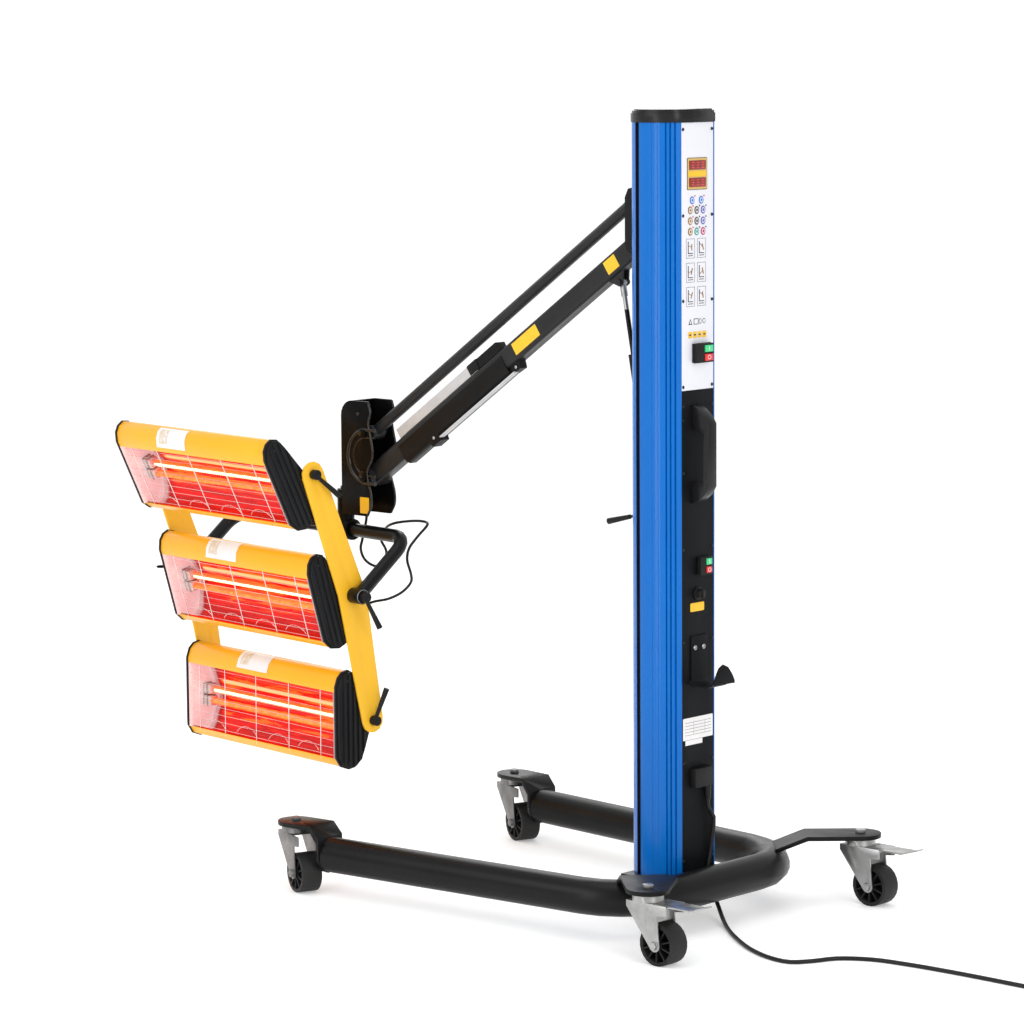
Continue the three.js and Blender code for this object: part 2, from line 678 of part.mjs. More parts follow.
// Switch body with two pockets, one for each button
function switchUnit(label, size, parent) {
  const split = size.left + (size.right - size.left) * switchSplitShare;
  const middle = (size.low + size.high) / 2;
  const face = seated + size.proud;
  const ys = [split, size.right - buttonInset];
  const floor = face - buttonTravel - buttonProud;
  const pockets = [
    [size.low + buttonInset, middle - buttonInset / 2],
    [middle + buttonInset / 2, size.high - buttonInset],
  ];
  const body = blockOf([seated, face], [size.left, size.right], [size.low, size.high]);
  node(`${label}_switch_housing`, cut(body, ...pockets.map((zs) => blockOf([floor, face + OVERRUN], ys, zs))),
    'blackPlastic', parent);
  ['off', 'on'].forEach((action, index) => {
    const button = blockOf([floor + buttonTravel + GAP, face + buttonProud - buttonTravel],
      [ys[0] + RUNNING_GAP, ys[1] - RUNNING_GAP],
      [pockets[index][0] + RUNNING_GAP, pockets[index][1] - RUNNING_GAP]);
    node(`${label}_${action}_button`, button, action === 'on' ? 'green' : 'red', parent);
  });
}

function bowHandle(parent) {
  const profile = bowProfile.map(([out, z]) => [seated + out, z]);
  node('bow_handle', drawnAlongY(profile, bow.near, bow.far), 'blackPlastic', parent);
}

function fuseCap(parent) {
  const outward = (length, radius) => barOf([seated, fuse.y, fuse.z], [seated + length, fuse.y, fuse.z], radius);
  const grip = blockOf([seated + fuse.proud - WELD, seated + fuse.proud + fuse.collarProud],
    [fuse.y - fuse.gripHalf, fuse.y + fuse.gripHalf],
    [fuse.z - fuse.radius + WELD, fuse.z + fuse.radius - WELD]);
  node('fuse_cap', join(outward(fuse.collarProud, fuse.collarRadius), outward(fuse.proud, fuse.radius), grip),
    'blackPlastic', parent);
}

// Bent sheet with an arched lip that carries the wound mains cord
function cordHook(parent) {
  const shelf = hookShelf.map(([out, z]) => [seated + out, z]);
  const lipStart = seated + hook.lipStart;
  node('cord_hook', join(
    blockOf([seated, seated + hook.thickness], [hook.left, hook.right], [hook.low, hook.high]),
    drawnAlongY(shelf, hook.shelfLeft, hook.right),
    drawnAlongX(hookLip, lipStart, lipStart + hook.thickness)), 'panelBlack', parent);
}

// Socket block that fills the opening of the lower panel, and the cord's strain relief under it
const cordX = seated + inlet.proud / 2;

function inletSocket(parent) {
  const upright = (from, to, radius, far) => barOf([cordX, relief.y, from], [cordX, relief.y, to], radius,
    SMALL_ROUND, far);
  const box = blockOf([panelBack + GAP, seated + inlet.proud], [inlet.left + GAP, inlet.right - GAP],
    [inlet.low + GAP, inlet.high - GAP]);
  node('inlet_socket', cut(box, upright(inlet.low - OVERRUN, inlet.low + relief.sink, relief.neckRadius + RUNNING_GAP)),
    'blackPlastic', parent);
  const tip = inlet.low - relief.length;
  node('cord_strain_relief', join(
    upright(inlet.low, tip, relief.radius, relief.tipRadius),
    upright(inlet.low - WELD, inlet.low + relief.sink - RUNNING_GAP, relief.neckRadius),
  ), 'blackPlastic', parent);
}

// Arm, link and strut

const armAlong = new THREE.Vector3(-Math.cos(armSlope), 0, -Math.sin(armSlope));
const armUp = new THREE.Vector3(-Math.sin(armSlope), 0, Math.cos(armSlope));
const wristPivot = { x: armPivot.x + armLength * armAlong.x, z: armPivot.z + armLength * armAlong.z };
const lugPoint = {
  x: armPivot.x + strutLug.along * armAlong.x - strutLug.below * armUp.x,
  z: armPivot.z + strutLug.along * armAlong.z - strutLug.below * armUp.z,
};

function acrossY(x, z, half, radius, sides = SMALL_ROUND) {
  return barOf([x, -half, z], [x, half, z], radius, sides);
}

function endHeads(x, z, face, length, radius) {
  return [-1, 1].map((side) => barOf([x, side * (face - WELD), z], [x, side * (face + length), z], radius,
    SMALL_ROUND));
}

// Long steel carrier in the column's front channel with the ears for arm, link, strut and lever
function armCarrier(parent) {
  const back = -columnHalfX + channel.depth - GAP;
  const face = back - carrier.thickness;
  const outer = carrier.earInner + carrier.earThickness;
  const linkZ = armPivot.z + linkRise;
  const strutInner = strut.footHalf + RUNNING_GAP;
  const earPair = (ear, x, z, inner) => {
    const outline = [
      [face + WELD, z + ear.low],
      ...ear.edge.map(([a, b]) => [x + a, z + b]),
      [face + WELD, z + ear.high],
    ];
    return [
      drawnAlongY(outline, inner, inner + carrier.earThickness),
      drawnAlongY(outline, -inner - carrier.earThickness, -inner),
    ];
  };
  node('arm_carrier', join(
    blockOf([face, back], [-carrier.halfWidth, carrier.halfWidth], [carrier.low, carrier.high]),
    ...earPair(upperEar, armPivot.x, armPivot.z, carrier.earInner),
    ...earPair(lowerEar, lever.pivotX, lever.pivotZ, strutInner),
    acrossY(armPivot.x, armPivot.z, outer, pivotPinRadius),
    acrossY(armPivot.x, linkZ, outer, pivotPinRadius),
    ...endHeads(armPivot.x, armPivot.z, outer, pivotHead, pivotHeadRadius),
    ...endHeads(armPivot.x, linkZ, outer, pivotHead, pivotHeadRadius),
    acrossY(strutFoot.x, strutFoot.z, strutInner + WELD, strut.eyeHole - RUNNING_GAP),
    acrossY(lever.pivotX, lever.pivotZ, strutInner + WELD, lever.pinRadius),
  ), 'blackSteel', parent);
}

function roundedRectangle(width, height, corner) {
  const a = width / 2 - corner;
  const b = height / 2 - corner;
  return [
    ...arcPoints(a, b, corner, 0, QUARTER, CORNER_STEPS),
    ...arcPoints(-a, b, corner, QUARTER, 2 * QUARTER, CORNER_STEPS),
    ...arcPoints(-a, -b, corner, 2 * QUARTER, 3 * QUARTER, CORNER_STEPS),
    ...arcPoints(a, -b, corner, 3 * QUARTER, 4 * QUARTER, CORNER_STEPS),
  ];
}

// A frame at a column pivot with +X along the arm and +Z on the arm's upper side
function armFrame(parent, z) {
  const group = groupAt(parent, armPivot.x, 0, z);
  const across = armUp.clone().cross(armAlong);
  group.quaternion.setFromRotationMatrix(new THREE.Matrix4().makeBasis(armAlong, across, armUp));
  return group;
}

// Two tabs under the arm that hold the strut's upper eye between them
function strutLugs() {
  const root = WELD - armTube.height / 2;
  const profile = [
    [strutLug.along - strutLug.rootHalf, root],
    ...arcPoints(strutLug.along, -strutLug.below, strutLug.radius, strutLug.arcFrom, strutLug.arcTo, ARC_STEPS),
    [strutLug.along + strutLug.rootHalf, root],
  ];
  const edge = strutLug.gapHalf + strutLug.tab;
  return [
    drawnAlongY(profile, strutLug.gapHalf, edge),
    drawnAlongY(profile, -edge, -strutLug.gapHalf),
    ...endHeads(strutLug.along, -strutLug.below, edge, pivotHead, strutLug.radius - 2 * WELD),
  ];
}

function mainArm(arm) {
  const { width, height, wall, corner } = armTube;
  const outline = roundedRectangle(width, height, corner);
  const inner = roundedRectangle(width - 2 * wall, height - 2 * wall, corner - wall);
  const endInset = armBossRadius / 2;
  const wristHalf = head.halfWidth - head.wall - RUNNING_GAP;
  const pinHole = pivotPinRadius + RUNNING_GAP;
  const shell = join(
    drawnAlongX(outline, endInset, armLength - endInset),
    acrossY(0, 0, width / 2, armBossRadius, ROUND),
    acrossY(armLength, 0, wristHalf, armBossRadius, ROUND),
    ...strutLugs());
  const bore = drawnAlongX(inner, endInset + wall, armLength - endInset - wall);
  const drain = blockOf([armLength / 2, armLength / 2 + OVERRUN], [-wall, wall], [-height, 0]);
  node('main_arm', cut(shell, bore, drain, acrossY(0, 0, width, pinHole),
    acrossY(armLength, 0, head.halfWidth, pinHole)), 'greySteel', arm);
}

// Inverted channel on top of the arm with a holed clip at its upper end
function armRail(arm) {
  const seat = armTube.height / 2 + GAP;
  const half = rail.width / 2;
  const clipStart = rail.start - rail.clipLength;
  const strip = cut(
    blockOf([rail.start - WELD, rail.end], [-half, half], [seat, seat + rail.height]),
    blockOf([rail.start, rail.end + OVERRUN], [-half + rail.wall, half - rail.wall],
      [seat - OVERRUN, seat + rail.height - rail.wall]));
  const clipOutline = [[clipStart, -half], [rail.start, -half], [rail.start, half], [clipStart, half]];
  const hole = circlePoints(rail.clipHole, ROUND, clipStart + rail.clipLength / 2);
  node('arm_rail', join(strip, raised(clipOutline, seat, seat + rail.height, [hole])), 'aluminium', arm);
}

function linkRod(link) {
  const half = armTube.width / 2;
  const inset = linkEyeRadius / 2;
  const bore = barOf([linkEyeRadius, 0, 0], [armLength - linkEyeRadius, 0, 0], linkBore, SMALL_ROUND);
  const drain = blockOf([armLength / 2, armLength / 2 + OVERRUN], [-armTube.wall, armTube.wall], [-armTube.width, 0]);
  const hole = pivotPinRadius + RUNNING_GAP;
  node('link_rod', cut(
    join(barOf([inset, 0, 0], [armLength - inset, 0, 0], linkRadius),
      acrossY(0, 0, half, linkEyeRadius, ROUND),
      acrossY(armLength, 0, half, linkEyeRadius, ROUND)),
    bore, drain, acrossY(0, 0, armTube.width, hole), acrossY(armLength, 0, armTube.width, hole)), 'greySteel', link);
}

// Cylinder and rod stand in a frame at the foot pivot whose +Z runs to the arm's lug
function gasStrut(parent) {
  const dx = lugPoint.x - strutFoot.x;
  const dz = lugPoint.z - strutFoot.z;
  const length = Math.hypot(dx, dz);
  const group = groupAt(parent, strutFoot.x, 0, strutFoot.z);
  group.rotation.y = Math.atan2(dx, dz);
  const bodyStart = strut.eyeRadius + 2 * WELD;
  const bodyEnd = bodyStart + strut.bodyLength;
  const neckEnd = length - strut.eyeHole - WELD;
  const along = (from, to, radius, sides = SMALL_ROUND) => barOf([0, 0, from], [0, 0, to], radius, sides);
  node('strut_cylinder', cut(
    join(acrossY(0, 0, strut.footHalf, strut.eyeRadius, ROUND),
      along(strut.eyeHole + 2 * WELD, bodyStart + WELD, strut.headHalf),
      along(bodyStart, bodyEnd, strut.bodyRadius, ROUND)),
    acrossY(0, 0, strut.footHalf + OVERRUN, strut.eyeHole),
    along(bodyEnd - strut.boreDepth, bodyEnd + OVERRUN, strut.rodRadius + RUNNING_GAP)), 'blackSteel', group);
  node('strut_rod', cut(
    join(along(bodyEnd - strut.boreDepth + strut.rodStart, neckEnd, strut.rodRadius),
      along(length - strut.ferrule, neckEnd, strut.ferruleRadius),
      acrossY(0, length, strut.headHalf, strut.eyeTop, ROUND)),
    acrossY(0, length, strut.headHalf + OVERRUN, strut.eyeHole)), 'blackSteel', group);
}

function strutLever(parent) {
  const group = groupAt(parent, lever.pivotX, 0, lever.pivotZ);
  group.rotation.y = -Math.atan(lever.slope);
  const gripStart = lever.length - lever.gripLength;
  const along = (from, to, radius, far = radius) => barOf([-from, 0, 0], [-to, 0, 0], radius, SMALL_ROUND, far);
  node('strut_lever', cut(
    join(acrossY(0, 0, strut.footHalf, lever.hubRadius),
      along(lever.hubRadius - WELD, gripStart + WELD, lever.rodRadius),
      along(gripStart, lever.length, lever.gripRootRadius, lever.gripRadius)),
    acrossY(0, 0, strut.footHalf + OVERRUN, lever.pinRadius + RUNNING_GAP)), 'blackPlastic', group);
}

// Head bracket: a channel open to the rear, with an ear in front for the swivel
function headBracket(parent) {
  const { front, rear, low, high, halfWidth, wall, corner } = head;
  const linkZ = wristInHead.z + linkRise;
  const side = [
    [front, low],
    ...headRearEdge.map(([a, b]) => [rear + a, low + b]),
    ...arcPoints(front + corner, high - corner, corner, QUARTER, 2 * QUARTER, ARC_STEPS),
  ];
  const slab = drawnAlongY(side, -halfWidth, halfWidth);
  const hollow = blockOf([front + wall, rear + 2 * OVERRUN], [wall - halfWidth, halfWidth - wall],
    [low - OVERRUN, high + OVERRUN]);
  const roof = cut(slab, moved(slab, wall, 0, -wall)).intersect(
    blockOf([front, front + corner], [-halfWidth, halfWidth], [high - corner - WELD, high]));
  const spacerHalf = armTube.width / 2 + RUNNING_GAP;
  const spacers = [-1, 1].map((end) => barOf([wristInHead.x, end * spacerHalf, linkZ],
    [wristInHead.x, end * (halfWidth - wall + WELD), linkZ], pivotHeadRadius, SMALL_ROUND));
  const earZ = [swivel.high + GAP, swivel.high + GAP + swivelPin.earHeight];
  const ear = join(
    blockOf([swivel.x, front + WELD], [-swivel.radius, swivel.radius], earZ),
    raised(circlePoints(swivel.radius, ROUND, swivel.x), ...earZ));
  const earHole = raised(circlePoints(swivelPin.radius + RUNNING_GAP, SMALL_ROUND, swivel.x),
    swivel.high - OVERRUN, swivel.high + swivelPin.earHeight + OVERRUN);
  node('head_bracket', cut(join(cut(slab, hollow), roof,
    acrossY(wristInHead.x, wristInHead.z, halfWidth, pivotPinRadius),
    acrossY(wristInHead.x, linkZ, halfWidth, pivotPinRadius),
    ...endHeads(wristInHead.x, wristInHead.z, halfWidth, pivotHead, pivotHeadRadius),
    ...endHeads(wristInHead.x, linkZ, halfWidth, pivotHead, pivotHeadRadius),
    ...spacers, ear), earHole), 'blackSteel', parent);
}

// Clamp that hangs under the bracket's ear and grips the yoke's cross-bar
function swivelClamp(group) {
  const top = swivel.high - crossBarHeight;
  const sleeveHalf = swivel.sleeveHalf;
  const pinTop = top + swivelPin.earHeight + 2 * GAP;
  node('swivel_clamp', cut(
    join(
      barOf([-sleeveHalf, 0, 0], [sleeveHalf, 0, 0], swivel.sleeve),
      raised(circlePoints(swivel.radius, ROUND), 0, top),
      raised(circlePoints(swivelPin.radius, SMALL_ROUND), top - WELD, pinTop + WELD),
      raised(circlePoints(swivelPin.headRadius, HEX), pinTop, pinTop + swivelPin.head)),
    barOf([-sleeveHalf - OVERRUN, 0, 0], [sleeveHalf + OVERRUN, 0, 0], yokeTubeRadius + RUNNING_GAP)),
  'blackSteel', group);
}

function swivelLever(group) {
  const hubStart = -swivel.sleeve - GAP;
  const hubEnd = hubStart - tommy.hubLength;
  const rootY = (hubStart + hubEnd) / 2;
  node('swivel_lever', join(
    barOf([0, hubStart, 0], [0, hubEnd, 0], tommy.hubRadius, SMALL_ROUND),
    barOf([0, rootY, 0], [tommy.gripX - WELD, tommy.gripY, 0], tommy.rodRadius, SMALL_ROUND),
    barOf([tommy.gripX, tommy.gripY, 0], [tommy.tipX, tommy.tipY, 0], tommy.rodRadius, SMALL_ROUND, tommy.gripRadius),
  ), 'blackPlastic', group);
}

// Yoke and lamp frame, in the swivel's frame: +X along the lamps, -Y forward, z from the cross-bar

const hubLocal = { y: -hub.forward, z: hub.height - crossBarHeight };
const barInner = lampHalf + GAP;
const barOuter = barInner + barThickness;
const yokeInner = barOuter + GAP;
const yokeOuter = yokeHalfWidth + hub.bossHalf;

function yoke(group) {
  const x = yokeHalfWidth;
  const route = roundedRoute([
    [-x, hubLocal.y, hubLocal.z],
    [-x, 0, 0],
    [x, 0, 0],
    [x, hubLocal.y, hubLocal.z],
  ], yokeBendRadius);
  const acrossHub = (side, from, to, radius, sides) => barOf([side * from, hubLocal.y, hubLocal.z],
    [side * to, hubLocal.y, hubLocal.z], radius, sides);
  const bosses = [-1, 1].map((side) => acrossHub(side, yokeInner, yokeOuter, hub.bossRadius, ROUND));
  const holes = [-1, 1].map((side) => acrossHub(side, yokeInner - OVERRUN, yokeOuter + OVERRUN,
    studRadius + RUNNING_GAP, SMALL_ROUND));
  const vent = blockOf([-ventRadius, ventRadius], [-ventRadius / 2, ventRadius / 2], [-yokeTubeRadius - OVERRUN, 0]);
  const tube = cut(tubeOf(route, yokeTubeRadius), tubeOf(route, yokeTubeRadius - yokeWall, SMALL_ROUND));
  node('yoke', cut(join(tube, ...bosses), ...holes, vent), 'blackSteel', group);
}

// Bent flat bar that carries the three lamps' studs on one side
function sideBar(name, side, group) {
  const [top, middle, bottom] = lampPlaces.map((place) => [-place.forward, place.z - crossBarHeight]);
  const upper = Math.atan2(top[1] - middle[1], top[0] - middle[0]) - QUARTER;
  const lower = Math.atan2(middle[1] - bottom[1], middle[0] - bottom[0]) - QUARTER;
  const outline = [
    ...arcPoints(...top, barEndHalf, upper, upper + HALF_TURN, ARC_STEPS),
    [middle[0] - barMidHalf, middle[1]],
    ...arcPoints(...bottom, barEndHalf, lower + HALF_TURN, lower + FULL_TURN, ARC_STEPS),
    [middle[0] + barMidHalf, middle[1]],
  ];
  const holes = [top, middle, bottom].map(([y, z]) => circlePoints(studRadius + RUNNING_GAP, SMALL_ROUND, y, z));
  const low = side > 0 ? barInner : -barOuter;
  node(name, drawnAlongX(outline, low, low + barThickness, holes), 'yellow', group);
}

// Lamp pieces stand in a frame at the pivot, forward is -Y and up is +Z before the tilt
function lampOutline(inset) {
  const depthShare = 1 - inset / sectionHalfDepth;
  const heightShare = 1 - inset / sectionHalfHeight;
  return lampSection.map(([depth, height]) => [
    sectionMiddle[0] + (depth - sectionMiddle[0]) * depthShare - lampPivot.depth,
    sectionMiddle[1] + (height - sectionMiddle[1]) * heightShare - lampPivot.height,
  ]);
}

function lampShell(label, group) {
  const half = lampHalf - lampCapLength;
  const opening = blockOf([-half - OVERRUN, half + OVERRUN],
    [-lampPivot.depth - OVERRUN, lampWindow.depth - lampPivot.depth],
    [lampWindow.low - lampPivot.height, lampWindow.high - lampPivot.height]);
  node(`lamp_shell_${label}`, cut(drawnAlongX(lampOutline(0), -half, half),
    drawnAlongX(lampOutline(lampWall), -half - OVERRUN, half + OVERRUN), opening), 'yellow', group);
}

function outerFaceOf(label) {
  return label === 'middle' ? yokeOuter : barOuter;
}

// End cap with upright ribs on its face and the stud that passes the side bar
function lampCap(label, side, group) {
  const start = lampHalf - lampCapLength + GAP;
  const face = lampHalf - capRib.height;
  const outerFace = outerFaceOf(label);
  const envelope = drawnAlongX(lampOutline(capCrownInset), start, lampHalf);
  const ribs = Array.from({ length: capRib.count }, (_, index) => {
    const y = capRib.start + index * capRib.pitch - lampPivot.depth;
    return blockOf([start, lampHalf + WELD], [y, y + capRib.width], [-2 * lampPivot.height, 2 * lampPivot.height])
      .intersect(envelope);
  });
  const alongX = (from, to, radius, sides) => barOf([from, 0, 0], [to, 0, 0], radius, sides);
  const studEnd = side > 0 ? outerFace : outerFace + 2 * GAP;
  const keep = side > 0
    ? alongX(outerFace - WELD, outerFace + clampHub.length + GAP, studRadius - WELD, SMALL_ROUND)
    : alongX(outerFace + GAP, outerFace + GAP + studHead.length, studHead.radius, HEX);
  const body = join(
    drawnAlongX(lampOutline(-capRim), start, start + capRimLength),
    drawnAlongX(lampOutline(capBodyInset), start, face),
    ...ribs,
    alongX(start, lampHalf, studLug, SMALL_ROUND),
    alongX(face, studEnd, studRadius, SMALL_ROUND),
    keep);
  const name = `lamp_cap_${label}_${side > 0 ? 'right' : 'left'}`;
  node(name, side < 0 ? body.mirror([1, 0, 0]) : body, 'blackPlastic', group);
}

// Twin quartz tube between two ceramic blocks that sit against the end caps
function quartzTube(label, group) {
  const y = quartz.depth - lampPivot.depth;
  const z = quartz.height - lampPivot.height;
  const blockEnd = lampHalf - lampCapLength;
  const blockStart = blockEnd - quartz.blockLength;
  const ys = [y - quartz.blockHalf, y + quartz.blockHalf];
  const rise = quartz.spacing / 2 + quartz.blockHalf;
  const blocks = [[blockStart, blockEnd], [-blockEnd, -blockStart]].map((xs) => blockOf(xs, ys, [z - rise, z + rise]));
  const tubes = [-1, 1].map((side) => barOf([-blockStart - WELD, y, z + side * quartz.spacing / 2],
    [blockStart + WELD, y, z + side * quartz.spacing / 2], quartz.radius, SMALL_ROUND));
  node(`quartz_tube_${label}`, join(...blocks, ...tubes), 'quartzGlow', group);
}

// Clamping lever on the right end of a stud, its handle leaning outward along an angle
function clampLever(label, handleTurn, group) {
  const low = outerFaceOf(label) + GAP;
  const high = low + clampHub.length;
  const aim = [Math.cos(handleTurn), Math.sin(handleTurn)];
  const root = studRadius + 2 * RUNNING_GAP;
  const bore = barOf([low - OVERRUN, 0, 0], [high + OVERRUN, 0, 0], studRadius - WELD + RUNNING_GAP, SMALL_ROUND);
  const grip = barOf([(low + high) / 2, aim[0] * root, aim[1] * root],
    [high + clampGrip.lift, aim[0] * clampGrip.length, aim[1] * clampGrip.length],
    clampGrip.tipRadius, SMALL_ROUND, clampGrip.radius);
  node(`clamp_lever_${label}`, cut(join(barOf([low, 0, 0], [high, 0, 0], clampHub.radius, SMALL_ROUND), grip), bore),
    'blackPlastic', group);
}

function lampUnit(place, group) {
  const seat = groupAt(group, 0, -place.forward, place.z - crossBarHeight);
  clampLever(place.label, place.leverTurn, seat);
  const unit = groupAt(seat, 0, 0, 0);
  unit.rotation.x = place.tilt;
  lampShell(place.label, unit);
  lampCap(place.label, 1, unit);
  lampCap(place.label, -1, unit);
  quartzTube(place.label, unit);
}

// Mains cord: down behind the column, through the plate's notch, under the bar and over the floor

const coilTurns = coil.loops / coil.layers;
const coilStartRadius = coil.meanRadius + coil.pitch * coilTurns / 2;
const coilEntryY = coil.y - coilStartRadius;
const coilStartX = coil.x - 2 * cord.radius;

function cordRoute() {
  const points = [
    [cordX, relief.y, inlet.low - relief.length - GAP],
    ...cordFall,
    ...cordUnder,
    ...cordFloor.map(([x, y]) => [x, y, cord.radius]),
    [coilStartX - coil.meanRadius, coilEntryY, cord.radius],
    [coilStartX, coilEntryY, cord.radius],
  ];
  const stations = smoothRoute(points, cord.step);
  stations.forEach((station) => station.setZ(Math.max(station.z, cord.radius)));
  stations.splice(1, 0, stations[0].clone().setZ(stations[0].z - cord.radius));
  return stations;
}

// Flat spiral in to the middle, one climb, and out again on the second layer
function coilRoute() {
  const stations = [];
  const place = (step, radius, z) => {
    const angle = step * FULL_TURN / coil.steps;
    stations.push(new THREE.Vector3(coil.x + radius * Math.sin(angle), coil.y - radius * Math.cos(angle), z));
  };
  const climb = coil.steps / 2;
  const layerSteps = coilTurns * coil.steps - climb / 2;
  const innerRadius = coilStartRadius - coil.pitch * layerSteps / coil.steps;
  const low = cord.radius;
  const high = low + coil.rise;
  stations.push(new THREE.Vector3(coilStartX + GAP, coilEntryY, low));
  for (let step = 0; step <= layerSteps; step += 1) {
    place(step, coilStartRadius - coil.pitch * step / coil.steps, low);
  }
  for (let step = 1; step < climb; step += 1) {
    place(layerSteps + step, innerRadius, low + coil.rise * step / climb);
  }
  for (let step = 0; step <= layerSteps; step += 1) {
    place(layerSteps + climb + step, innerRadius + coil.pitch * step / coil.steps, high);
  }
  const last = stations[stations.length - 1];
  const heading = last.clone().sub(stations[stations.length - 2]).setZ(0).normalize();
  const plugAxis = plugShape.radius * Math.cos(HALF_TURN / ROUND);
  stations.push(last.clone().addScaledVector(heading, cord.tail / 2).setZ(plugAxis));
  stations.push(last.clone().addScaledVector(heading, cord.tail).setZ(plugAxis));
  return { stations, heading };
}

// Least distance of the coil's centre line to itself beyond a quarter of a loop, less the cord
function leastCoilGap(stations) {
  const apart = coil.steps / 4;
  let least = Infinity;
  stations.forEach((station, index) => {
    for (let other = index + apart; other < stations.length; other += 1) {
      least = Math.min(least, station.distanceTo(stations[other]));
    }
  });
  return least - 2 * cord.radius;
}

function mainsPlug(parent, end, heading) {
  const group = groupAt(parent, end.x, end.y, end.z, Math.atan2(heading.y, heading.x));
  const bodyEnd = plugShape.neckLength + plugShape.length;
  const pins = [-1, 1].map((side) => {
    const y = side * plugShape.pinSpacing / 2;
    return barOf([bodyEnd - WELD, y, 0], [bodyEnd + plugShape.pinLength, y, 0], plugShape.pinRadius, SMALL_ROUND);
  });
  node('mains_plug', join(
    barOf([GAP, 0, 0], [plugShape.neckLength + WELD, 0, 0], plugShape.neckRadius, SMALL_ROUND,
      plugShape.neckEndRadius),
    barOf([plugShape.neckLength, 0, 0], [bodyEnd, 0, 0], plugShape.radius),
    ...pins), 'blackPlastic', group);
}

function mainsCord(parent) {
  node('mains_cord_run', tubeOf(cordRoute(), cord.radius, cord.sides), 'cord', parent);
  const { stations, heading } = coilRoute();
  console.log('least gap of the coil to itself', leastCoilGap(stations).toFixed(2), 'mm');
  node('mains_cord_coil', tubeOf(stations, cord.radius, coil.sides), 'cord', parent);
  mainsPlug(parent, stations[stations.length - 1], heading);
}

function lampLead(parent) {
  node('lamp_lead', tubeOf(smoothRoute(leadPoints, leadStep), leadRadius, HEX), 'cord', parent);
}

const lamp = new THREE.Group();
const machine = groupAt(lamp, COLUMN_SETBACK, 0, 0);
baseFrame(machine);
rearOutrigger('rear_outrigger_near', -1, machine, true);
rearOutrigger('rear_outrigger_far', 1, machine, false);
caster('front_near', frontKing, -1, frontSwivel, false, machine);
caster('front_far', frontKing, 1, frontSwivel, false, machine);
caster('rear_near', rearKing, -1, 0, true, machine);
caster('rear_far', rearKing, 1, 0, true, machine);
columnExtrusion(machine);
columnCap(machine);
rearPanels(machine);
switchUnit('main', mainSwitch, machine);
switchUnit('lamp', lampSwitch, machine);
bowHandle(machine);
fuseCap(machine);
cordHook(machine);
inletSocket(machine);
armCarrier(machine);
const arm = armFrame(machine, armPivot.z);
mainArm(arm);
armRail(arm);
linkRod(armFrame(machine, armPivot.z + linkRise));
gasStrut(machine);
strutLever(machine);
const headSeat = groupAt(machine, wristPivot.x - wristInHead.x, 0, wristPivot.z - wristInHead.z);
headBracket(headSeat);
const swivelGroup = groupAt(headSeat, swivel.x, 0, crossBarHeight, yokeTurn);
swivelClamp(swivelGroup);
swivelLever(swivelGroup);
const yokeGroup = groupAt(swivelGroup, yokeOffset, 0, 0);
yoke(yokeGroup);
sideBar('side_bar_right', 1, yokeGroup);
sideBar('side_bar_left', -1, yokeGroup);
for (const place of lampPlaces) {
  lampUnit(place, yokeGroup);
}
mainsCord(machine);
lampLead(headSeat);

export default lamp;
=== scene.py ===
"""Looks of a mobile infrared paint curing lamp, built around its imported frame.

Lengths are metres in the row frame: +Z up, the lamps toward -X and the control
panel toward +X.  Pieces are drawn in millimetres in a local frame.  Each
sub-assembly is a class that dresses the frame's nodes and adds what rides with them.
"""

from __future__ import annotations

import json
import logging
import math
from dataclasses import dataclass, field
from enum import Enum
from typing import Callable, Iterable, Sequence

import bmesh
import bpy
from mathutils import Matrix, Vector

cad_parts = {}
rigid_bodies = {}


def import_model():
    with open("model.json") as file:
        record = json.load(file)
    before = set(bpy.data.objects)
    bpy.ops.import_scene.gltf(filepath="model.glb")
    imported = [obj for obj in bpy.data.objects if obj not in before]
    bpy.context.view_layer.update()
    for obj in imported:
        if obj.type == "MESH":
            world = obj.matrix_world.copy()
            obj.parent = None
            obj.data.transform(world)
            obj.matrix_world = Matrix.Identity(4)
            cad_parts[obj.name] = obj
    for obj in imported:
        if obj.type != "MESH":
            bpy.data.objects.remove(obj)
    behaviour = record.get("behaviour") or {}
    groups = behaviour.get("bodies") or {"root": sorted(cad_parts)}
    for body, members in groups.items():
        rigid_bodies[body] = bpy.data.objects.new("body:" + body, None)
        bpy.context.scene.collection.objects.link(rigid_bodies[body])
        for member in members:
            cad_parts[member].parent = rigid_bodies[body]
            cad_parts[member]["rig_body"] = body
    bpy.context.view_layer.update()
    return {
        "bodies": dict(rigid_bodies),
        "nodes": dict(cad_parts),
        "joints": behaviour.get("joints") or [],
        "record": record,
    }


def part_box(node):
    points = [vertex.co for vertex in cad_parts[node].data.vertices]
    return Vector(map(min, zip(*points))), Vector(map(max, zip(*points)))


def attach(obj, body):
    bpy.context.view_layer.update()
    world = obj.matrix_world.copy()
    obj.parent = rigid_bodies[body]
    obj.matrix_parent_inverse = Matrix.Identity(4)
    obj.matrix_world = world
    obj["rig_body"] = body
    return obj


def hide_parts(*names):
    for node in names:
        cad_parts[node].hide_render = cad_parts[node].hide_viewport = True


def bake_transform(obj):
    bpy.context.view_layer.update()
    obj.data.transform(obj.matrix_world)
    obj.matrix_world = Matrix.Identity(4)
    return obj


LOG = logging.getLogger("curing_lamp")

Point = Sequence[float]
Colour = tuple[float, float, float]
Outline = list[tuple[float, float]]
Pairs = tuple[tuple[float, float], ...]
GlowMap = Callable[[Vector], float]
Socket = bpy.types.NodeSocket
Material = bpy.types.Material
Object = bpy.types.Object

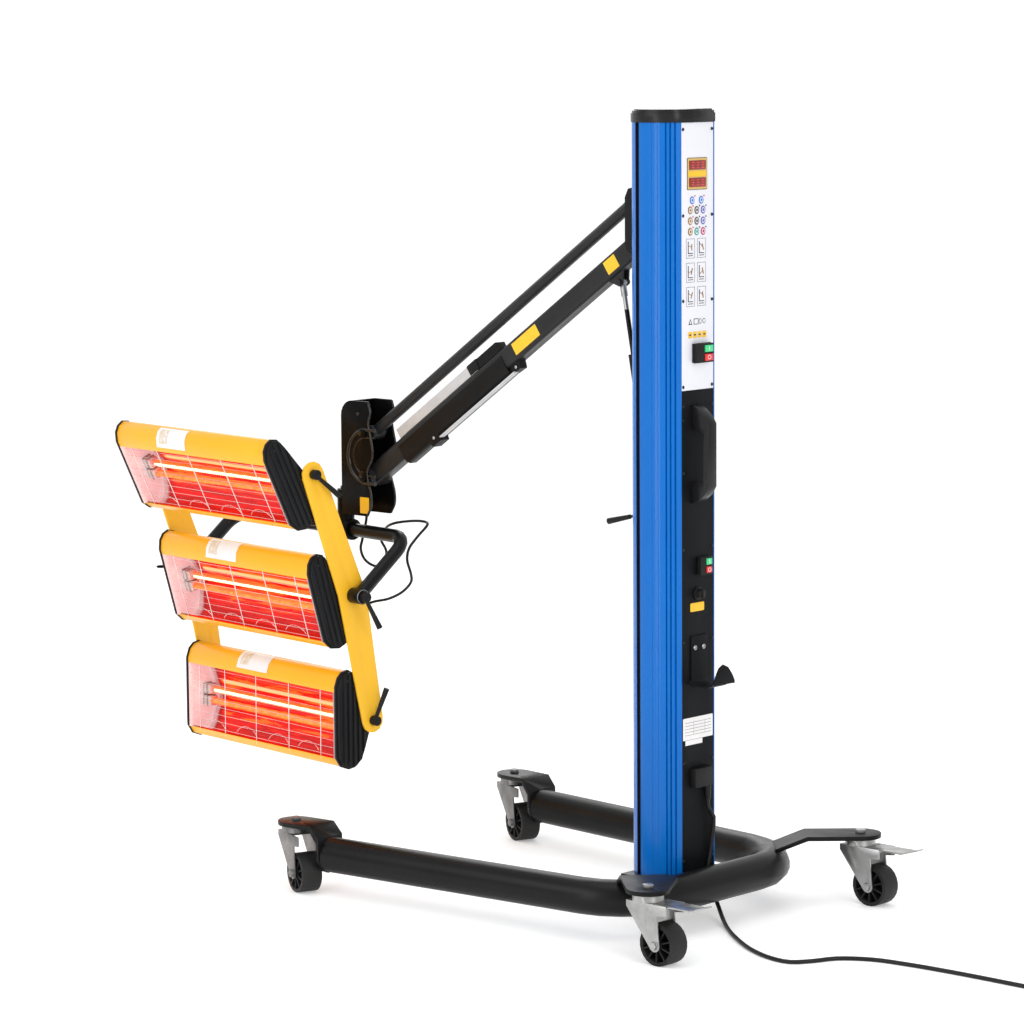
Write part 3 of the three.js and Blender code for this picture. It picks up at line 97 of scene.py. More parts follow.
MM = 0.001
SETBACK = 515.0  # from the row frame's origin to the column's middle
# The glow level lights the tubes and the display, and also paints the tubes' reflection onto the reflector as
# emission.
GLOW_LEVEL = "glow_level"  # mesh attribute that drives the glow
ROUNDING = {"segments": 2, "affect": "EDGES", "profile": 0.6}
WELD = 2e-6
FLAT, SHARP = math.radians(0.6), math.radians(48)  # edges under the first go, over the second are broken
SIDES = (-1, 1)


class Label(Enum):
    """The three lamps, from the top down."""

    TOP = "top"
    MIDDLE = "middle"
    BOTTOM = "bottom"


class Cut(Enum):
    """Recess in a screw head."""

    CROSS = "cross"
    HEX = "hex"


def at(x: float, y: float, z: float) -> Vector:
    """Turns a point of the drawing in millimetres into the row frame.

    Args:
        x: Distance along the base, from the column's middle.
        y: Distance across the base.
        z: Height over the floor.

    Returns:
        The point in metres.
    """
    return Vector(((x + SETBACK) * MM, y * MM, z * MM))


def frame_of(origin: Point, x_axis: Point, z_axis: Point) -> Matrix:
    """Builds a frame in millimetres from an origin and two directions.

    Args:
        origin: Where the local origin goes, in metres.
        x_axis: Direction of local X.
        z_axis: Direction of local Z, squared up against X.

    Returns:
        A matrix from local millimetres to the row frame.
    """
    x = Vector(x_axis).normalized()
    y = Vector(z_axis).cross(x).normalized()
    turn = Matrix((x, y, x.cross(y))).transposed().to_4x4()
    return Matrix.Translation(Vector(origin)) @ turn @ Matrix.Scale(MM, 4)


# --------------------------------------------------------------------------
# Materials


@dataclass(frozen=True)
class Finish:
    """A solid surface finish.

    Attributes:
        name: Material name.
        base: Main colour, linear.
        second: Colour of the mottling or dust.
        rough: Lowest and highest roughness.
        grain: Grain cells per metre.
        mottle: Colour patches per metre.
        share: How much of the second colour shows.
        bump: Strength of the grain's relief.
        depth: Height of the grain, in metres.
        stretch: Grain scale along X, Y and Z, for brushed or drawn surfaces.
        metallic: Metallic value of the shader.
        coat: Clear coat weight.
        dust: Height in metres under which dust settles, or zero.
        specular: Strength of the plain highlight.
        glow: Own light in the surface's colour, painted light for a part lit by what is inside it.
    """

    name: str
    base: Colour
    second: Colour
    rough: tuple[float, float] = (0.35, 0.5)
    grain: float = 1500.0
    mottle: float = 30.0
    share: float = 0.5
    bump: float = 0.3
    depth: float = 0.0004
    stretch: tuple[float, float, float] = (1.0, 1.0, 1.0)
    metallic: float = 0.0
    coat: float = 0.0
    dust: float = 0.0
    specular: float = 0.5
    glow: float = 0.0


class NodeDesk:
    """Short ways to add and link nodes in one tree."""

    def __init__(self, tree: bpy.types.NodeTree) -> None:
        """Takes the tree to work on."""
        self.tree = tree

    def add(self, kind: str, **inputs: object) -> bpy.types.Node:
        """Adds a node and sets attributes (lower case) or inputs (by name)."""
        node = self.tree.nodes.new(kind)
        for name, value in inputs.items():
            if name.islower() and hasattr(node, name):
                setattr(node, name, value)
            else:
                node.inputs[name].default_value = value
        return node

    def link(self, source: Socket, target: Socket) -> None:
        """Joins two sockets."""
        self.tree.links.new(source, target)

    def math(self, operation: str, first: object, second: object, clamp: bool = False) -> Socket:
        """Adds a math node on sockets or numbers and returns its output."""
        node = self.add("ShaderNodeMath", operation=operation, use_clamp=clamp)
        for index, value in enumerate((first, second)):
            if isinstance(value, Socket):
                self.link(value, node.inputs[index])
            else:
                node.inputs[index].default_value = value
        return node.outputs[0]

    def lift(self, value: Socket, low: float, gain: float) -> Socket:
        """Stretches what is over a low value and holds it between zero and one."""
        return self.math("MULTIPLY", self.math("SUBTRACT", value, low, True), gain, True)

    def scaled(self, value: Socket, gain: float, offset: float) -> Socket:
        """Multiplies a value and adds an offset."""
        return self.math("ADD", self.math("MULTIPLY", value, gain), offset)

    def mix(self, factor: object, first: object, second: object) -> Socket:
        """Mixes two colours, each a socket or a tuple, and returns the colour."""
        node = self.add("ShaderNodeMix", data_type="RGBA")
        for index, value in ((0, factor), (6, first), (7, second)):
            if isinstance(value, Socket):
                self.link(value, node.inputs[index])
            else:
                node.inputs[index].default_value = (*value, 1.0)
        return node.outputs[2]

    def streaks(self, stretch: Point, **settings: float) -> Socket:
        """Adds a noise that is drawn out along the object's axes and returns its value."""
        place = self.add("ShaderNodeTexCoord").outputs["Object"]
        drawn = self.add("ShaderNodeVectorMath", operation="MULTIPLY")
        self.link(place, drawn.inputs[0])
        drawn.inputs[1].default_value = stretch
        noise = self.add("ShaderNodeTexNoise", Scale=1.0, Roughness=0.65, **settings)
        self.link(drawn.outputs[0], noise.inputs["Vector"])
        return noise.outputs["Fac"]


class Palette:
    """Makes each material once and hands it out by its finish."""

    INPUTS = (("Base", "Color"), ("Second", "Color"), ("Share", "Float"), ("Mottle", "Float"),
              ("Grain", "Float"), ("Stretch", "Vector"), ("Rough Low", "Float"), ("Rough High", "Float"),
              ("Relief", "Float"), ("Depth", "Float"), ("Dust Height", "Float"))
    OUTPUTS = (("Color", "Color"), ("Roughness", "Float"), ("Normal", "Vector"))
    DUST = (0.16, 0.15, 0.14)

    def __init__(self) -> None:
        """Starts without materials and builds the shared group."""
        self._made: dict[str, Material] = {}
        self._surface = self._surface_group()

    def _surface_group(self) -> bpy.types.NodeTree:
        """Builds the shared effect: mottled colour, uneven gloss and a fine grain."""
        tree = bpy.data.node_groups.new("Surface", "ShaderNodeTree")
        for way, sockets in (("INPUT", self.INPUTS), ("OUTPUT", self.OUTPUTS)):
            for name, kind in sockets:
                tree.interface.new_socket(name=name, in_out=way, socket_type=f"NodeSocket{kind}")
        desk = NodeDesk(tree)
        given = desk.add("NodeGroupInput").outputs
        result = desk.add("NodeGroupOutput").inputs
        place = desk.add("ShaderNodeTexCoord").outputs["Object"]
        patches = desk.add("ShaderNodeTexNoise", Detail=4.0, Roughness=0.6)
        drawn = desk.add("ShaderNodeVectorMath", operation="MULTIPLY")
        grain = desk.add("ShaderNodeTexNoise", Detail=3.0, Roughness=0.55)
        for source, target in (
            (place, patches.inputs["Vector"]), (given["Mottle"], patches.inputs["Scale"]),
            (place, drawn.inputs[0]), (given["Stretch"], drawn.inputs[1]),
            (drawn.outputs[0], grain.inputs["Vector"]), (given["Grain"], grain.inputs["Scale"]),
        ):
            desk.link(source, target)
        blotch = desk.lift(patches.outputs["Fac"], 0.42, 3.2)
        speck = desk.lift(grain.outputs["Fac"], 0.5, 2.0)
        mask = desk.math("MULTIPLY", desk.math("ADD", blotch, speck, True), given["Share"], True)
        body = desk.mix(mask, given["Base"], given["Second"])
        split = desk.add("ShaderNodeSeparateXYZ")
        desk.link(place, split.inputs[0])
        low = desk.math("SUBTRACT", given["Dust Height"], split.outputs["Z"], True)
        dusty = desk.math("MULTIPLY", desk.math("MULTIPLY", low, 6.0, True), blotch, True)
        desk.link(desk.mix(dusty, body, self.DUST), result["Color"])
        spread = desk.math("SUBTRACT", given["Rough High"], given["Rough Low"])
        uneven = desk.math("MULTIPLY", spread, desk.math("ADD", blotch, speck, True))
        desk.link(desk.math("ADD", given["Rough Low"], uneven, True), result["Roughness"])
        relief = desk.add("ShaderNodeBump")
        desk.link(given["Relief"], relief.inputs["Strength"])
        desk.link(given["Depth"], relief.inputs["Distance"])
        desk.link(grain.outputs["Fac"], relief.inputs["Height"])
        desk.link(relief.outputs[0], result["Normal"])
        return tree

    def _start(self, name: str) -> tuple[Material, NodeDesk, bpy.types.bpy_prop_collection]:
        """Opens a new material and returns it with its desk and its shader's inputs."""
        material = bpy.data.materials.new(name)
        material.use_nodes = True
        self._made[name] = material
        return material, NodeDesk(material.node_tree), material.node_tree.nodes["Principled BSDF"].inputs

    @staticmethod
    def _set(inputs: bpy.types.bpy_prop_collection, **values: float) -> None:
        """Sets shader inputs, with underscores for the spaces of their names."""
        for name, value in values.items():
            inputs[name.replace("_", " ")].default_value = value

    def solid(self, finish: Finish) -> Material:
        """Gives the material of a finish.

        Args:
            finish: The finish to look up or make.

        Returns:
            The material.
        """
        if finish.name in self._made:
            return self._made[finish.name]
        material, desk, shader = self._start(finish.name)
        group = desk.add("ShaderNodeGroup", node_tree=self._surface)
        values = ((*finish.base, 1), (*finish.second, 1), finish.share, finish.mottle, finish.grain,
                  finish.stretch, *finish.rough, finish.bump, finish.depth, finish.dust)
        for (name, _), value in zip(self.INPUTS, values):
            group.inputs[name].default_value = value
        desk.link(group.outputs["Color"], shader["Base Color"])
        desk.link(group.outputs["Roughness"], shader["Roughness"])
        desk.link(group.outputs["Normal"], shader["Normal"])
        self._set(shader, Metallic=finish.metallic, Coat_Weight=finish.coat, Coat_Roughness=0.12)
        shader["Specular IOR Level"].default_value = finish.specular
        if finish.glow:
            desk.link(group.outputs["Color"], shader["Emission Color"])
            self._set(shader, Emission_Strength=finish.glow)
        return material

    def glow(self, name: str, dark: Colour, bright: Colour, strength: float, stretch: Point) -> Material:
        """Makes a glowing surface whose light runs in streaks.

        Args:
            name: Material name.
            dark: Colour between the streaks.
            bright: Colour of the hot streaks.
            strength: Emission strength.
            stretch: Streak frequency along X, Y and Z.

        Returns:
            The material.
        """
        if name in self._made:
            return self._made[name]
        material, desk, shader = self._start(name)
        glow_map = desk.lift(desk.streaks(stretch, Detail=5.0), 0.4, 4.0)
        attribute = desk.add("ShaderNodeAttribute", attribute_name=GLOW_LEVEL)
        level = desk.math("MULTIPLY", attribute.outputs["Fac"], desk.scaled(glow_map, 0.6, 0.5))
        colour = desk.mix(desk.math("MINIMUM", level, 1.0), dark, bright)
        desk.link(colour, shader["Emission Color"])
        desk.link(colour, shader["Base Color"])
        self._set(shader, Emission_Strength=strength, Roughness=0.3)
        return material

    def reflector(self) -> Material:
        """Makes the mirror behind the tubes, with the tubes' red light painted on it as a glowing reflection;
        dull silver where no reflection is painted.
        """
        name = "reflector_mirror"
        if name in self._made:
            return self._made[name]
        material, desk, shader = self._start(name)
        noise = desk.streaks((6.0, 40.0, 120.0), Detail=6.0, Distortion=0.8)
        streak = desk.lift(noise, 0.44, 5.0)
        # Painted reflection: the glow level sets where the tubes' red light and bright mirror image are
        # painted as emission on the mirror.
        lit = desk.add("ShaderNodeAttribute", attribute_name=GLOW_LEVEL).outputs["Fac"]
        hazy = desk.math("MULTIPLY", lit, desk.scaled(streak, 0.8, 0.5), True)
        warm = desk.mix(desk.math("MULTIPLY", hazy, 1.9, True), (0.20, 0.004, 0.003), (0.93, 0.008, 0.006))
        ember = desk.mix(desk.lift(hazy, 0.55, 3.4), warm, (1.0, 0.17, 0.015))
        core = desk.mix(desk.lift(lit, 1.05, 3.0), ember, (1.0, 0.66, 0.28))
        reflection_mask = desk.math("MULTIPLY", lit, 7.0, True)
        desk.link(desk.mix(reflection_mask, (0.16, 0.09, 0.09), core), shader["Emission Color"])
        self._set(shader, Emission_Strength=1.0, Metallic=0.3)
        shader["Specular IOR Level"].default_value = 0.3
        desk.link(desk.mix(reflection_mask, (0.62, 0.5, 0.5), (0.10, 0.006, 0.005)), shader["Base Color"])
        desk.link(desk.scaled(streak, 0.15, 0.25), shader["Roughness"])
        relief = desk.add("ShaderNodeBump", Strength=0.25, Distance=0.0006)
        desk.link(noise, relief.inputs["Height"])
        desk.link(relief.outputs[0], shader["Normal"])
        return material


def key_finish(name: str, base: Colour, second: Colour) -> Finish:
    """Gives the finish of a printed membrane key."""
    return Finish(f"{name}_key", base, second, (0.3, 0.4), mottle=60, bump=0.1, depth=0.0003)


def button_finish(name: str, base: Colour, second: Colour) -> Finish:
    """Gives the finish of a glossy push button."""
    return Finish(f"{name}_plastic", base, second, (0.2, 0.32), 900, 30, 0.4, 0.05, 0.0002, coat=0.2)


COLUMN_DRAW = (8, 8, 0.25)  # the column's surface is drawn out along its height

STEEL_BLACK = Finish(
    "black_powder_coat", (0.0045, 0.0045, 0.0048), (0.009, 0.009, 0.0095), (0.36, 0.5), 1500, 6,
    dust=0.03, specular=0.14)
TUBE_BLACK = Finish(
    "black_tube_coat", (0.004, 0.004, 0.0042), (0.008, 0.008, 0.0085), (0.26, 0.36), 1100, 5,
    dust=0.05, specular=0.18)
STEEL_GREY = Finish(
    "grey_powder_coat", (0.015, 0.015, 0.0155), (0.025, 0.025, 0.026), (0.3, 0.45), 1800, 7,
    specular=0.2)
CARRIER_BLACK = Finish(
    "bracket_casting", (0.004, 0.004, 0.0042), (0.007, 0.007, 0.0074), (0.18, 0.28), 800, 12,
    bump=0.2, specular=0.07)
RIDGE_GLOSS = Finish(
    "bracket_ridge_gloss", (0.004, 0.004, 0.0042), (0.007, 0.007, 0.0074), (0.12, 0.2), 800, 12,
    bump=0.1, depth=0.0003)
ZINC = Finish(
    "bright_zinc", (0.40, 0.40, 0.395), (0.24, 0.24, 0.235), (0.28, 0.5), 380, 26, 0.6, 0.22, 0.0003,
    (1, 1, 3), 0.85)
FORK_DARK = Finish(
    "dull_zinc", (0.20, 0.20, 0.20), (0.12, 0.12, 0.12), (0.3, 0.5), 380, 26, 0.6, 0.22, 0.0003,
    metallic=0.85)
# Painted light: the wires' pink tint stands for the red light of the tubes falling on them.
CHROME = Finish(
    "chrome_wire", (0.80, 0.66, 0.64), (0.7, 0.5, 0.48), (0.12, 0.25), 300, 40, 0.3, 0.05, 0.0001,
    metallic=0.8)
SCREW_BLACK = Finish(
    "black_screw", (0.012, 0.012, 0.013), (0.04, 0.04, 0.04), (0.28, 0.45), 900, 60, 0.4, 0.12,
    0.0002, metallic=0.5)
TYRE = Finish(
    "tyre_rubber", (0.016, 0.016, 0.016), (0.03, 0.029, 0.028), (0.5, 0.75), 700, 30, 0.6, 0.4,
    0.0006, dust=0.02, specular=0.2)
BLUE = Finish(
    "blue_coat", (0.0004, 0.118, 0.45), (0.0008, 0.14, 0.50), (0.22, 0.3), 260, 4, 0.5, 0.05, 0.0002,
    COLUMN_DRAW, specular=0.22)
# Painted shade: a darker copy of the column blue for the shade in the fine flutes.
FLUTE_PAINTED_SHADE = Finish(
    "blue_flute", (0.0003, 0.085, 0.34), (0.0008, 0.11, 0.40), (0.3, 0.42), 260, 4, 0.5, 0.05, 0.0002,
    COLUMN_DRAW, specular=0.2)
# Painted shade: a dark blue-grey for the faces inside the column's grooves and front channel.
GROOVE_PAINTED_SHADE = Finish(
    "groove_strip", (0.022, 0.022, 0.038), (0.035, 0.035, 0.055), (0.35, 0.5), 260, 9, 0.5, 0.1,
    0.0003, COLUMN_DRAW, specular=0.3)
PLASTIC_BLACK = Finish(
    "black_plastic", (0.008, 0.008, 0.0085), (0.014, 0.014, 0.015), (0.34, 0.5), 1600, 12,
    specular=0.18)
PLASTIC_SATIN = Finish(
    "satin_black_plastic", (0.009, 0.009, 0.0095), (0.014, 0.014, 0.015), (0.24, 0.36), 1200, 12,
    bump=0.15, depth=0.0003, specular=0.22)
SHEET_WHITE = Finish(
    "printed_sheet", (0.70, 0.70, 0.75), (0.76, 0.76, 0.80), (0.3, 0.42), 1300, 8, 0.5, 0.1, 0.0002)
PANEL = Finish(
    "panel_coat", (0.0055, 0.006, 0.007), (0.011, 0.0115, 0.013), (0.42, 0.56), 2200, 8, bump=0.35,
    specular=0.08)
RED = button_finish("red", (0.68, 0.03, 0.03), (0.55, 0.02, 0.02))
GREEN = button_finish("green", (0.05, 0.60, 0.22), (0.04, 0.5, 0.18))
ALUMINIUM = Finish(
    "brushed_aluminium", (0.55, 0.55, 0.56), (0.42, 0.42, 0.43), (0.4, 0.55), 500, 14, 0.6, 0.2,
    0.0003, (0.3, 4, 4), 0.2)
YELLOW = Finish(
    "yellow_powder_coat", (0.90, 0.40, 0.008), (0.95, 0.46, 0.014), (0.3, 0.42), 1300, 7, 0.5, 0.15,
    0.0003, specular=0.4)
BAR_YELLOW = Finish(
    "yellow_bar_coat", (0.90, 0.48, 0.02), (0.95, 0.54, 0.03), (0.36, 0.5), 1500, 7, 0.5, 0.18,
    0.0003, specular=0.35)
CERAMIC = Finish("ceramic_block", (0.62, 0.5, 0.46), (0.5, 0.36, 0.32), (0.5, 0.7), 900, 40, 0.6)
# Painted light: the end plates' pink tint and glow stand for the tubes' red light falling on them.
LINER = Finish(
    "end_plate_mirror", (0.74, 0.60, 0.60), (0.62, 0.45, 0.45), (0.3, 0.5), 300, 40, 0.5, 0.2, 0.0003,
    metallic=0.25, glow=0.45)
RUBBER = Finish(
    "cord_rubber", (0.007, 0.007, 0.0075), (0.014, 0.014, 0.014), (0.36, 0.52), 1800, 20, 0.5, 0.25,
    0.0003, specular=0.25)
LABEL_WHITE = Finish("blank_label", (0.80, 0.78, 0.78), (0.72, 0.70, 0.71), bump=0.06, depth=0.0001)
LABEL_YELLOW = Finish("yellow_label", (0.84, 0.50, 0.012), (0.72, 0.40, 0.01), bump=0.06, depth=0.0001)
LABEL_PRINT = Finish(
    "label_print", (0.62, 0.50, 0.36), (0.8, 0.77, 0.75), (0.4, 0.5), 420, 120, 0.9, 0.12, 0.0003)
INK = Finish(
    "printed_ink", (0.02, 0.02, 0.025), (0.05, 0.05, 0.055), (0.4, 0.5), share=0.4, bump=0.05,
    depth=0.0001)
SCREEN = Finish(
    "red_screen", (0.20, 0.004, 0.004), (0.30, 0.01, 0.01), (0.12, 0.2), 1500, 120, 0.5, 0.05, 0.0001,
    coat=0.6)
RIM = Finish("display_rim", (0.10, 0.07, 0.04), (0.16, 0.12, 0.07), (0.35, 0.5), 900, 9, 0.35, 0.12, 0.0003)
GOLD = Finish(
    "display_gold", (0.62, 0.42, 0.12), (0.72, 0.5, 0.18), (0.35, 0.5), 900, 9, 0.35, 0.12, 0.0003)
KEY_BLUE = key_finish("blue", (0.03, 0.16, 0.55), (0.05, 0.22, 0.62))
KEY_GOLD = key_finish("gold", (0.30, 0.15, 0.03), (0.4, 0.22, 0.06))
KEY_DARK = key_finish("dark", (0.05, 0.04, 0.05), (0.09, 0.07, 0.08))
KEY_VIOLET = key_finish("violet", (0.10, 0.10, 0.40), (0.14, 0.14, 0.5))
KEY_TEAL = key_finish("teal", (0.03, 0.30, 0.27), (0.05, 0.38, 0.33))
KEY_PINK = key_finish("magenta", (0.42, 0.02, 0.13), (0.5, 0.04, 0.2))
FLOOR = Finish(
    "studio_floor", (0.90, 0.90, 0.90), (0.88, 0.88, 0.88), (0.7, 0.8), 60, 1.5, 0.3, 0.02, 0.0002,
    glow=0.29)


# --------------------------------------------------------------------------
# Mesh building


def link_mesh(name: str, mesh: bmesh.types.BMesh, materials: Iterable[Material], smooth: float) -> Object:
    """Turns a mesh under construction into a linked object and frees it.

    Args:
        name: Name of the object.
        mesh: The mesh.
        materials: Materials by index.
        smooth: Greatest angle that is shaded smooth, in degrees.

    Returns:
        The object.
    """
    data = bpy.data.meshes.new(name)
    mesh.to_mesh(data)
    mesh.free()
    for material in materials:
        data.materials.append(material)
    smoothen(data, smooth)
    made = bpy.data.objects.new(name, data)
    bpy.context.scene.collection.objects.link(made)
    return made


def smoothen(data: bpy.types.Mesh, angle: float) -> None:
    """Shades a mesh smooth up to an angle in degrees."""
    data.shade_smooth()
    data.set_sharp_from_angle(angle=math.radians(angle))


class Piece:
    """One mesh under construction, in a local frame placed by a matrix."""

    def __init__(self, name: str, place: Matrix | None = None) -> None:
        """Starts an empty piece.

        Args:
            name: Name of the object.
            place: Matrix from the local frame to the row frame.
        """
        self.name = name
        self.place = place or Matrix.Identity(4)
        self.mesh = bmesh.new()

    def _shade(self, known: set[bmesh.types.BMFace], index: int) -> None:
        """Gives the faces that weren't known before a material index."""
        for face in self.mesh.faces:
            if face not in known:
                face.material_index = index

    def box(self, low: Point, high: Point, bevel: float = 0.0, index: int = 0) -> None:
        """Adds a box between two corners with rounded edges.

        Args:
            low: One corner.
            high: The opposite corner.
            bevel: Radius of the edges, zero for none.
            index: Material index.
        """
        known = set(self.mesh.faces)
        made = bmesh.ops.create_cube(self.mesh, size=1.0)["verts"]
        low, high = (Vector([pick(pair) for pair in zip(low, high)]) for pick in (min, max))
        bmesh.ops.scale(self.mesh, vec=high - low, verts=made)
        bmesh.ops.translate(self.mesh, vec=(high + low) / 2, verts=made)
        if bevel:
            edges = list({edge for vert in made for edge in vert.link_edges})
            bmesh.ops.bevel(self.mesh, geom=edges, offset=bevel, **ROUNDING)
        self._shade(known, index)

    def prism(self, outline: Sequence[Point], low: float, high: float, bevel: float = 0.0,
              index: int = 0) -> None:
        """Adds an outline in local X and Y drawn from one height to another.

        Args:
            outline: Points of the outline, in order.
            low: Lower height along local Z.
            high: Upper height along local Z.
            bevel: Radius of the upper rim.
            index: Material index.
        """
        known = set(self.mesh.faces)
        face = self.mesh.faces.new([self.mesh.verts.new((x, y, low)) for x, y in outline])
        moved = bmesh.ops.extrude_face_region(self.mesh, geom=[face])["geom"]
        tops = [item for item in moved if isinstance(item, bmesh.types.BMVert)]
        bmesh.ops.translate(self.mesh, vec=(0, 0, high - low), verts=tops)
        if bevel:
            rim = [item for item in moved if isinstance(item, bmesh.types.BMEdge)]
            bmesh.ops.bevel(self.mesh, geom=rim, offset=bevel, **ROUNDING)
        self._shade(known, index)

    def _skin(self, rings: Sequence[Sequence[bmesh.types.BMVert]], closed: bool) -> None:
        """Joins rows of vertices with faces, round each row if they are closed; a single vertex is a tip."""
        for lower, upper in zip(rings, rings[1:]):
            count = max(len(lower), len(upper))
            for step in range(count if closed else count - 1):
                after = (step + 1) % count
                corners = dict.fromkeys((lower[step % len(lower)], lower[after % len(lower)],
                                         upper[after % len(upper)], upper[step % len(upper)]))
                if len(corners) > 2:
                    self.mesh.faces.new(list(corners))

    def lathe(self, profile: Sequence[Point], steps: int) -> None:
        """Adds a profile of radius and height turned about local Z.

        Args:
            profile: Points of radius and height, from one end to the other.
            steps: Steps round.
        """
        rings = ([(x, y, height) for x, y in circle(radius, steps)] if radius else [(0, 0, height)]
                 for radius, height in profile)
        self._skin([[self.mesh.verts.new(point) for point in ring] for ring in rings], True)

    def tube(self, path: Sequence[Point], radius: float | Sequence[float], sides: int = 12, index: int = 0,
             closed: bool = False) -> None:
        """Adds a round rod along a path.

        Args:
            path: Points along the middle line.
            radius: One radius, or one for each point.
            sides: Sides of the section.
            index: Material index.
            closed: True for a ring.
        """
        known = set(self.mesh.faces)
        points = [Vector(point) for point in path]
        last = len(points) - 1
        radii = [radius] * (last + 1) if isinstance(radius, (int, float)) else radius
        rings = []
        normal = None
        for step, (point, thick) in enumerate(zip(points, radii)):
            before = points[step - 1] if closed or step else point
            after = points[(step + 1) % (last + 1)] if closed or step < last else point
            along = (after - before).normalized()
            normal = normal or along.orthogonal().normalized()
            normal = (normal - along * normal.dot(along)).normalized()
            across = along.cross(normal)
            rings.append([self.mesh.verts.new(point + (normal * x + across * y) * thick)
                          for x, y in circle(1.0, sides)])
        self._skin(rings + rings[:1] if closed else rings, True)
        if not closed:
            self.mesh.faces.new(list(reversed(rings[0])))
            self.mesh.faces.new(rings[-1])
        self._shade(known, index)

    def sheet(self, rows: Sequence[Sequence[Point]], index: int = 0) -> None:
        """Adds an open surface through rows of points.

        Args:
            rows: Rows of equal length.
            index: Material index.
        """
        known = set(self.mesh.faces)
        self._skin([[self.mesh.verts.new(point) for point in row] for row in rows], False)
        self._shade(known, index)

    def done(self, materials: Iterable[Material], body: str | None,
             smooth: float = 35.0, glow_map: GlowMap | None = None) -> Object:
        """Closes the mesh into an object at the origin and lets it ride.

        Args:
            materials: Materials by index.
            body: Body that it moves with, or None for the stage.
            smooth: Greatest angle that is shaded smooth, in degrees.
            glow_map: Gives each local point its glow from zero to one.

        Returns:
            The finished object.
        """
        bmesh.ops.recalc_face_normals(self.mesh, faces=self.mesh.faces)
        glow_level = [glow_map(vert.co) for vert in self.mesh.verts] if glow_map else []
        bmesh.ops.transform(self.mesh, matrix=self.place, verts=self.mesh.verts)
        piece = link_mesh(self.name, self.mesh, materials, smooth)
        if glow_map:
            piece.data.attributes.new(GLOW_LEVEL, "FLOAT", "POINT").data.foreach_set("value", glow_level)
        if body:
            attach(piece, body)
        return piece


def circle(radius: float, steps: int, turn: float = 0.0) -> Outline:
    """Gives the points of a circle in local X and Y."""
    turns = (turn + 2 * math.pi * step / steps for step in range(steps))
    return [(radius * math.cos(angle), radius * math.sin(angle)) for angle in turns]


def oval(x: float, y: float, across: float, up: float, steps: int, turn: float = 0.0) -> Outline:
    """Gives the points of an oval about a middle, from its two half widths."""
    return [(x + across * u, y + up * v) for u, v in circle(1.0, steps, turn)]


def box_of(x: float, y: float, x_end: float, y_end: float) -> Outline:
    """Gives the outline of a rectangle between two corners."""
    return [(x, y), (x_end, y), (x_end, y_end), (x, y_end)]


def rounded(width: float, height: float, corner: float, x: float = 0.0, y: float = 0.0) -> Outline:
    """Gives the outline of a rectangle with round corners about a middle."""
    points = []
    steps = 5
    for sign_x, sign_y, start in ((1, 1, 0), (-1, 1, 90), (-1, -1, 180), (1, -1, 270)):
        for step in range(steps + 1):
            turn = math.radians(start + 90 * step / steps)
            points.append((x + sign_x * (width / 2 - corner) + corner * math.cos(turn),
                           y + sign_y * (height / 2 - corner) + corner * math.sin(turn)))
    return points


def catmull(points: Sequence[Point], step: float) -> list[Vector]:
    """Runs a smooth curve through points and cuts it into short steps.

    Args:
        points: Points that the curve passes.
        step: Greatest length of a step.

    Returns:
        The points along the curve.
    """
    def between(a: Vector, b: Vector, start: float, end: float) -> Vector:
        """Weighs two points by where the present knot lies between theirs."""
        return a * ((end - t) / (end - start)) + b * ((t - start) / (end - start))

    given = [Vector(point) for point in points]
    ends = [given[0] * 2 - given[1], *given, given[-1] * 2 - given[-2]]
    out = [given[0]]
    for p0, p1, p2, p3 in zip(ends, ends[1:], ends[2:], ends[3:]):
        t1 = (p1 - p0).length ** 0.5
        t2 = t1 + (p2 - p1).length ** 0.5
        t3 = t2 + (p3 - p2).length ** 0.5
        count = math.ceil((p2 - p1).length / step)
        for part in range(1, count + 1):
            t = t1 + (t2 - t1) * part / count
            a1, a2, a3 = between(p0, p1, 0, t1), between(p1, p2, t1, t2), between(p2, p3, t2, t3)
            out.append(between(between(a1, a2, 0, t2), between(a2, a3, t1, t3), t1, t2))
    return out


SCREW_HEAD = ((0, 0), (1, 0), (1, 0.5), (0.72, 0.9), (0.42, 1), (0.36, 0.6), (0, 0.5))


def screw(piece: Piece, x: float, y: float, z: float, radius: float, cut: Cut = Cut.CROSS) -> None:
    """Adds a screw head with its recess, standing up along local Z.

    Args:
        piece: The piece to add to.
        x: Place along X.
        y: Place along Y.
        z: Seat of the head.
        radius: Radius of the head.
        cut: Shape of the recess.
    """
    start = len(piece.mesh.verts)
    high = radius * 0.55
    piece.lathe([(radius * across, high * up) for across, up in SCREW_HEAD], 16)
    if cut is Cut.CROSS:
        for turn in (0.4, 0.4 + math.pi / 2):
            along = Vector((math.cos(turn), math.sin(turn), 0)) * radius * 0.5
            piece.tube([(-along.x, -along.y, high * 0.78), (along.x, along.y, high * 0.78)], radius * 0.12, 6)
    piece.mesh.verts.ensure_lookup_table()
    bmesh.ops.translate(piece.mesh, vec=(x, y, z), verts=piece.mesh.verts[start:])


def bolt(piece: Piece, x: float, y: float, across: float, washer: float) -> None:
    """Adds a hexagon bolt head on a round washer, standing up along local Z.

    Args:
        piece: The piece to add to.
        x: Place along X.
        y: Place along Y.
        across: Half the width over the corners.
        washer: Radius of the washer.
    """
    seat = 1.4
    top = seat + 0.62 * across
    piece.prism(oval(x, y, washer, washer, 24), 0, seat, 0.3)
    piece.prism(oval(x, y, across, across, 6, 0.2), seat, top, 0.6)
    piece.prism(oval(x, y, across * 0.72, across * 0.72, 20), top, seat + 0.7 * across, 0.2)


